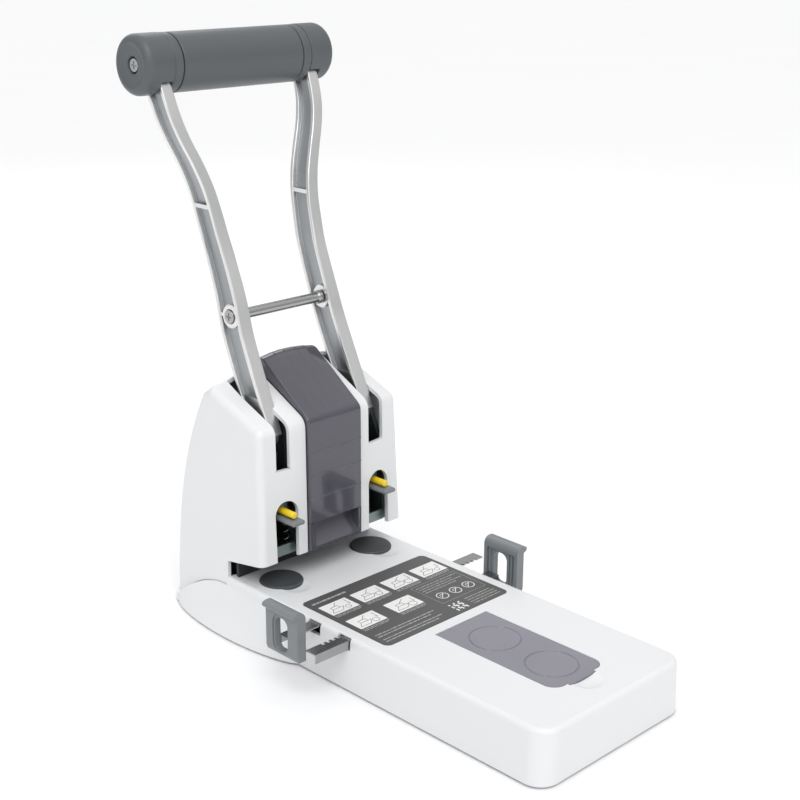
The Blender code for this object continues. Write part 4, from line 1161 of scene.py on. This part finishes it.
def arm_at(z):
    """The arm's line between its stations, with a continuous slope."""
    heights = [station[0] for station in ARM_LINE]
    k = max(i for i in range(len(heights) - 1) if heights[i] <= z + 1e-9)

    def slope(i, column):
        before, after = max(i - 1, 0), min(i + 1, len(heights) - 1)
        return (ARM_LINE[after][column] - ARM_LINE[before][column]) / (heights[after] - heights[before])

    step = heights[k + 1] - heights[k]
    t = (z - heights[k]) / step
    found = []
    for column in range(1, 5):
        a, b = ARM_LINE[k][column], ARM_LINE[k + 1][column]
        value = (2 * t**3 - 3 * t**2 + 1) * a + (3 * t**2 - 2 * t**3) * b
        value += step * ((t**3 - 2 * t**2 + t) * slope(k, column) + (t**3 - t**2) * slope(k + 1, column))
        found.append(value)
    return found


def arm_section(z, middle, front, depth, width):
    """An I-section with rounded flange edges and fillets at its web."""
    edge, web, rear = width / 2, WEB / 2, front + depth
    corners = [(edge, front), (edge, front + FLANGE), (web, front + FLANGE + 0.0002)]
    corners += [(web, rear - FLANGE - 0.0002), (edge, rear - FLANGE), (edge, rear)]
    half = filleted([(0, front)] + corners + [(0, rear)], FLANGE_ROUNDS, 3)[1:-1]
    points = half + [(-x, y) for x, y in reversed(half)]
    return [(middle + x, y, z) for x, y in points]


def arm_additions(sign):
    """What the I-section carries: its shank, its two round bosses and its ribs."""
    parts = [slab("shank", filleted(SHANK, 0.0012, 3), sign * SHANK_X[0], sign * SHANK_X[1], "YZ")]
    parts.append(rod(0.009, 0.0334, 0.0501, PIVOT, sign, 40, 0.0005))
    parts.append(rod(0.0078, 0.0337, 0.0426, BOSS, sign, 40, 0.0006))
    for near, far in ARM_RIBS:
        parts.append(block((sign * near[0], *near[1:]), (sign * far[0], *far[1:])))
    return parts


def lever_arm(side, sign):
    start, end = ARM_LINE[0][0], ARM_LINE[-1][0]
    rings = []
    for i in range(ARM_STEPS + 1):
        z = start + (end - start) * i / ARM_STEPS
        middle, front, depth, width = arm_at(z)
        rings.append(arm_section(z, sign * middle, front, depth, width))
    arm = loft(f"lever_arm_{side}_body", rings)
    join(arm, *arm_additions(sign))
    pin_bore = rod(0.0043, 0.03, 0.055, PIVOT, sign, 40)
    screw_bore = rod(0.0023, 0.03, 0.05, BOSS, sign, 40)
    head_bore = rod(0.0049, 0.0414, 0.05, BOSS, sign, 40)
    cut(arm, pin_bore, screw_bore, head_bore)
    place(arm, "lever", "arm_silver", [f"lever_arm_{side}"], 0.0003, weld=0.00004)
    shade_web(arm)


def shade_web(arm):
    """The recess beside the web gets a darker, rougher copy of the arm's metal; the darker colour is painted shade
    and painted dark reflection for the recess.
    """
    arm.data.materials.append(MATERIALS["arm_web_painted_shade"])
    for polygon in arm.data.polygons:
        centre = polygon.center
        if not ARM_LINE[0][0] < centre.z < ARM_LINE[-1][0]:
            continue
        middle, front, depth, _ = arm_at(centre.z)
        inside = front + FLANGE < centre.y < front + depth - FLANGE
        if inside and abs(abs(centre.x) - middle) < WEB:
            polygon.material_index = 1


GRIP_R = 0.0186
GRIP_BORE = 0.0043
CAP_R = 0.0188
CAP_END = 0.0752
CAP_START = 0.0484
CAP_SEAM = 0.0550
CAP_ROUND = 0.0050
# The slot that the arm's end fills in each cap, as the corners on the right cap.
ARM_SOCKET = ((0.0549, 0.0790, 0.330), (0.0642, 0.1022, 0.3530))


def middle_line(node):
    """A point on the line along X through the middle of a CAD node's box."""
    low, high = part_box(node)
    return 0, (low.y + high.y) / 2, (low.z + high.z) / 2


def grip():
    centre, half = middle_line("grip_tube"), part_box("grip_tube")[1].x
    profile = [(GRIP_BORE, -half), (GRIP_R - 0.0008, -half)]
    profile += [(GRIP_R - 0.0002, -half + 0.0003), (GRIP_R, -half + 0.001)]
    profile += [(r, -z) for r, z in reversed(profile)]
    tube = turned("grip_tube_body", profile, "X", centre, 96)
    place(tube, "lever", "grip_grey", ["grip_tube"], 0.0001, angle=60)
    for side, sign in SIDES.items():
        grip_cap(side, sign, centre)


def cap_profile():
    """The cap as (radius, X): its screw's dished face, rounded end, seam groove and inner end."""
    end, start, seam = CAP_END, CAP_START, CAP_SEAM
    face = [(GRIP_BORE, end - 0.0050), (0.0052, end - 0.0050), (0.0053, end - 0.0018)]
    face += [(0.0060, end - 0.0012), (0.0110, end - 0.0010), (0.0126, end - 0.0004), (0.0138, end)]
    corner = arc((0, 0), CAP_ROUND, 90, 0, 10)
    face += [(CAP_R - CAP_ROUND + a, end - CAP_ROUND + b) for a, b in corner]
    groove = [(CAP_R, seam + 0.0006), (CAP_R - 0.0003, seam + 0.0001), (CAP_R - 0.0008, seam)]
    groove += [(CAP_R - 0.0005, seam - 0.0003), (CAP_R - 0.0002, seam - 0.0008)]
    inner = [(CAP_R - 0.0002, start + 0.001), (CAP_R - 0.0005, start + 0.0003)]
    return face + groove + inner + [(CAP_R - 0.0011, start), (GRIP_BORE, start)]


def grip_cap(side, sign, centre):
    """A cap with a seam groove, a rounded end and a dished face about its screw."""
    profile = [(r, sign * x) for r, x in cap_profile()]
    cap = turned(f"grip_cap_{side}_body", profile, "X", centre, 96)
    near, far = ARM_SOCKET
    cut(cap, block((sign * near[0], *near[1:]), (sign * far[0], *far[1:])))
    place(cap, "lever", "grip_grey", [f"grip_cap_{side}"], 0.0001, angle=60, weld=0.00003)


def crossbar():
    """The bar between the arms, with a collar at each end."""
    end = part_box("crossbar")[1].x
    collar = [(0, end), (0.0042, end), (0.0045, end - 0.0003), (0.0045, end - 0.0024)]
    collar += [(0.0042, end - 0.0028), (0.0036, end - 0.0031), (0.0035, end - 0.0036)]
    profile = collar + [(r, -x) for r, x in reversed(collar)]
    bar = turned("crossbar_body", profile, "X", middle_line("crossbar"), 48)
    place(bar, "lever", "steel", ["crossbar"], 0.0001, angle=60)


# ---- guides


LIP_R = 0.0045
FENCE_THICK = 0.0065
# The fence's openings as (margin from its rear or front edge, Z) corners, and its small ribs.
FENCE_SLOT = ((0.0190, 0.0268), (0.0075, 0.0490))
SLOT_RIM = ((0.0205, 0.0255), (0.0060, 0.0505))
PANEL_MARGIN = 0.0026
PANEL_LOW = 0.0262


def fence_profile(foot, top):
    """The fence's section as (out from its outer face, Z), with its rolled lip."""
    profile = [(0, foot), (0, top - LIP_R)] + arc((LIP_R, top - LIP_R), LIP_R, 180, 90, 10)[1:]
    lip = [(0.0060, top), (0.0080, top - 0.0003), (0.0096, top - 0.0018), (0.0088, top - 0.0037)]
    profile += filleted(lip + [(FENCE_THICK, top - 0.0046)], 0.0008, 4)
    return profile + [(FENCE_THICK, foot + 0.003), (0.0055, foot)]


def fence(side, sign):
    """A guide fence with a rolled lip, a framed outer panel and its oblong slot."""
    low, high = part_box(f"guide_fence_{side}")
    face = high.x if sign < 0 else low.x
    top, front, rear = high.z, low.y, high.y
    outline = [(face + sign * x, z) for x, z in fence_profile(low.z, top)]
    body = slab(f"guide_fence_{side}_body", outline, front, rear, "XZ")

    def through(low_corner, high_corner, radius, steps, near, far):
        hole = rounded_rectangle(low_corner, high_corner, radius, steps)
        return slab("through", hole, face + sign * near, face + sign * far, "YZ")

    def from_rear(corners):
        return [(rear - y, z) for y, z in corners]

    panel_high = (rear - PANEL_MARGIN, top - 0.0060)
    panel = through((front + PANEL_MARGIN, PANEL_LOW), panel_high, 0.0016, 4, -0.001, 0.0014)
    slot = through(*from_rear(FENCE_SLOT), 0.0050, 8, -0.01, 0.02)
    rim = through(*from_rear(SLOT_RIM), 0.0060, 8, 0.0057, 0.02)
    cut(body, slot, panel, rim)
    ribs = []
    for y in (front + 0.0052, front + 0.0080, rear - 0.0048):
        rib_low = (face + sign * 0.0004, y - 0.0005, 0.0258)
        ribs.append(block(rib_low, (face + sign * 0.0020, y + 0.0005, top - 0.0055)))
    join(body, *ribs)
    place(body, f"guide_{side}", "guide_grey", [f"guide_fence_{side}"], 0.0004, weld=0.00003)


# ---- CAD nodes that stay

EDGE_ROUND_USUAL = 0.0002
EDGE_ROUND = {
    "latch_tab_left": 0.0009,
    "latch_tab_right": 0.0009,
    "release_pin_left": 0.0004,
    "release_pin_right": 0.0004,
}


def return_spring(side):
    """The CAD coil's own mesh, between the base and the ram, copied into a piece of its own."""
    node = f"return_spring_{side}"
    edit = bmesh.new()
    edit.from_mesh(NODES[node].data)
    edit.transform(NODES[node].matrix_world)
    coil = new_piece(f"return_spring_{side}_coil", edit)
    dress(coil, SLOT_OF[node])
    soften(coil, EDGE_ROUND_USUAL)
    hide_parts(node)
    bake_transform(coil)


def dress_nodes():
    """Dresses every CAD node; the ones that a piece replaces aren't shown."""
    for name, obj in NODES.items():
        dress(obj, SLOT_OF[name])
        soften(obj, EDGE_ROUND.get(name, EDGE_ROUND_USUAL))


make_camera()
make_stage()
dress_nodes()
base_shell()
plate_label()
spare_lid()
cutting_discs()
rear_cover()
chip_cover()
chip_bin()
grip()
crossbar()
for side_name, side_sign in SIDES.items():
    cheek(side_name, side_sign)
    lever_arm(side_name, side_sign)
    fence(side_name, side_sign)
    return_spring(side_name)
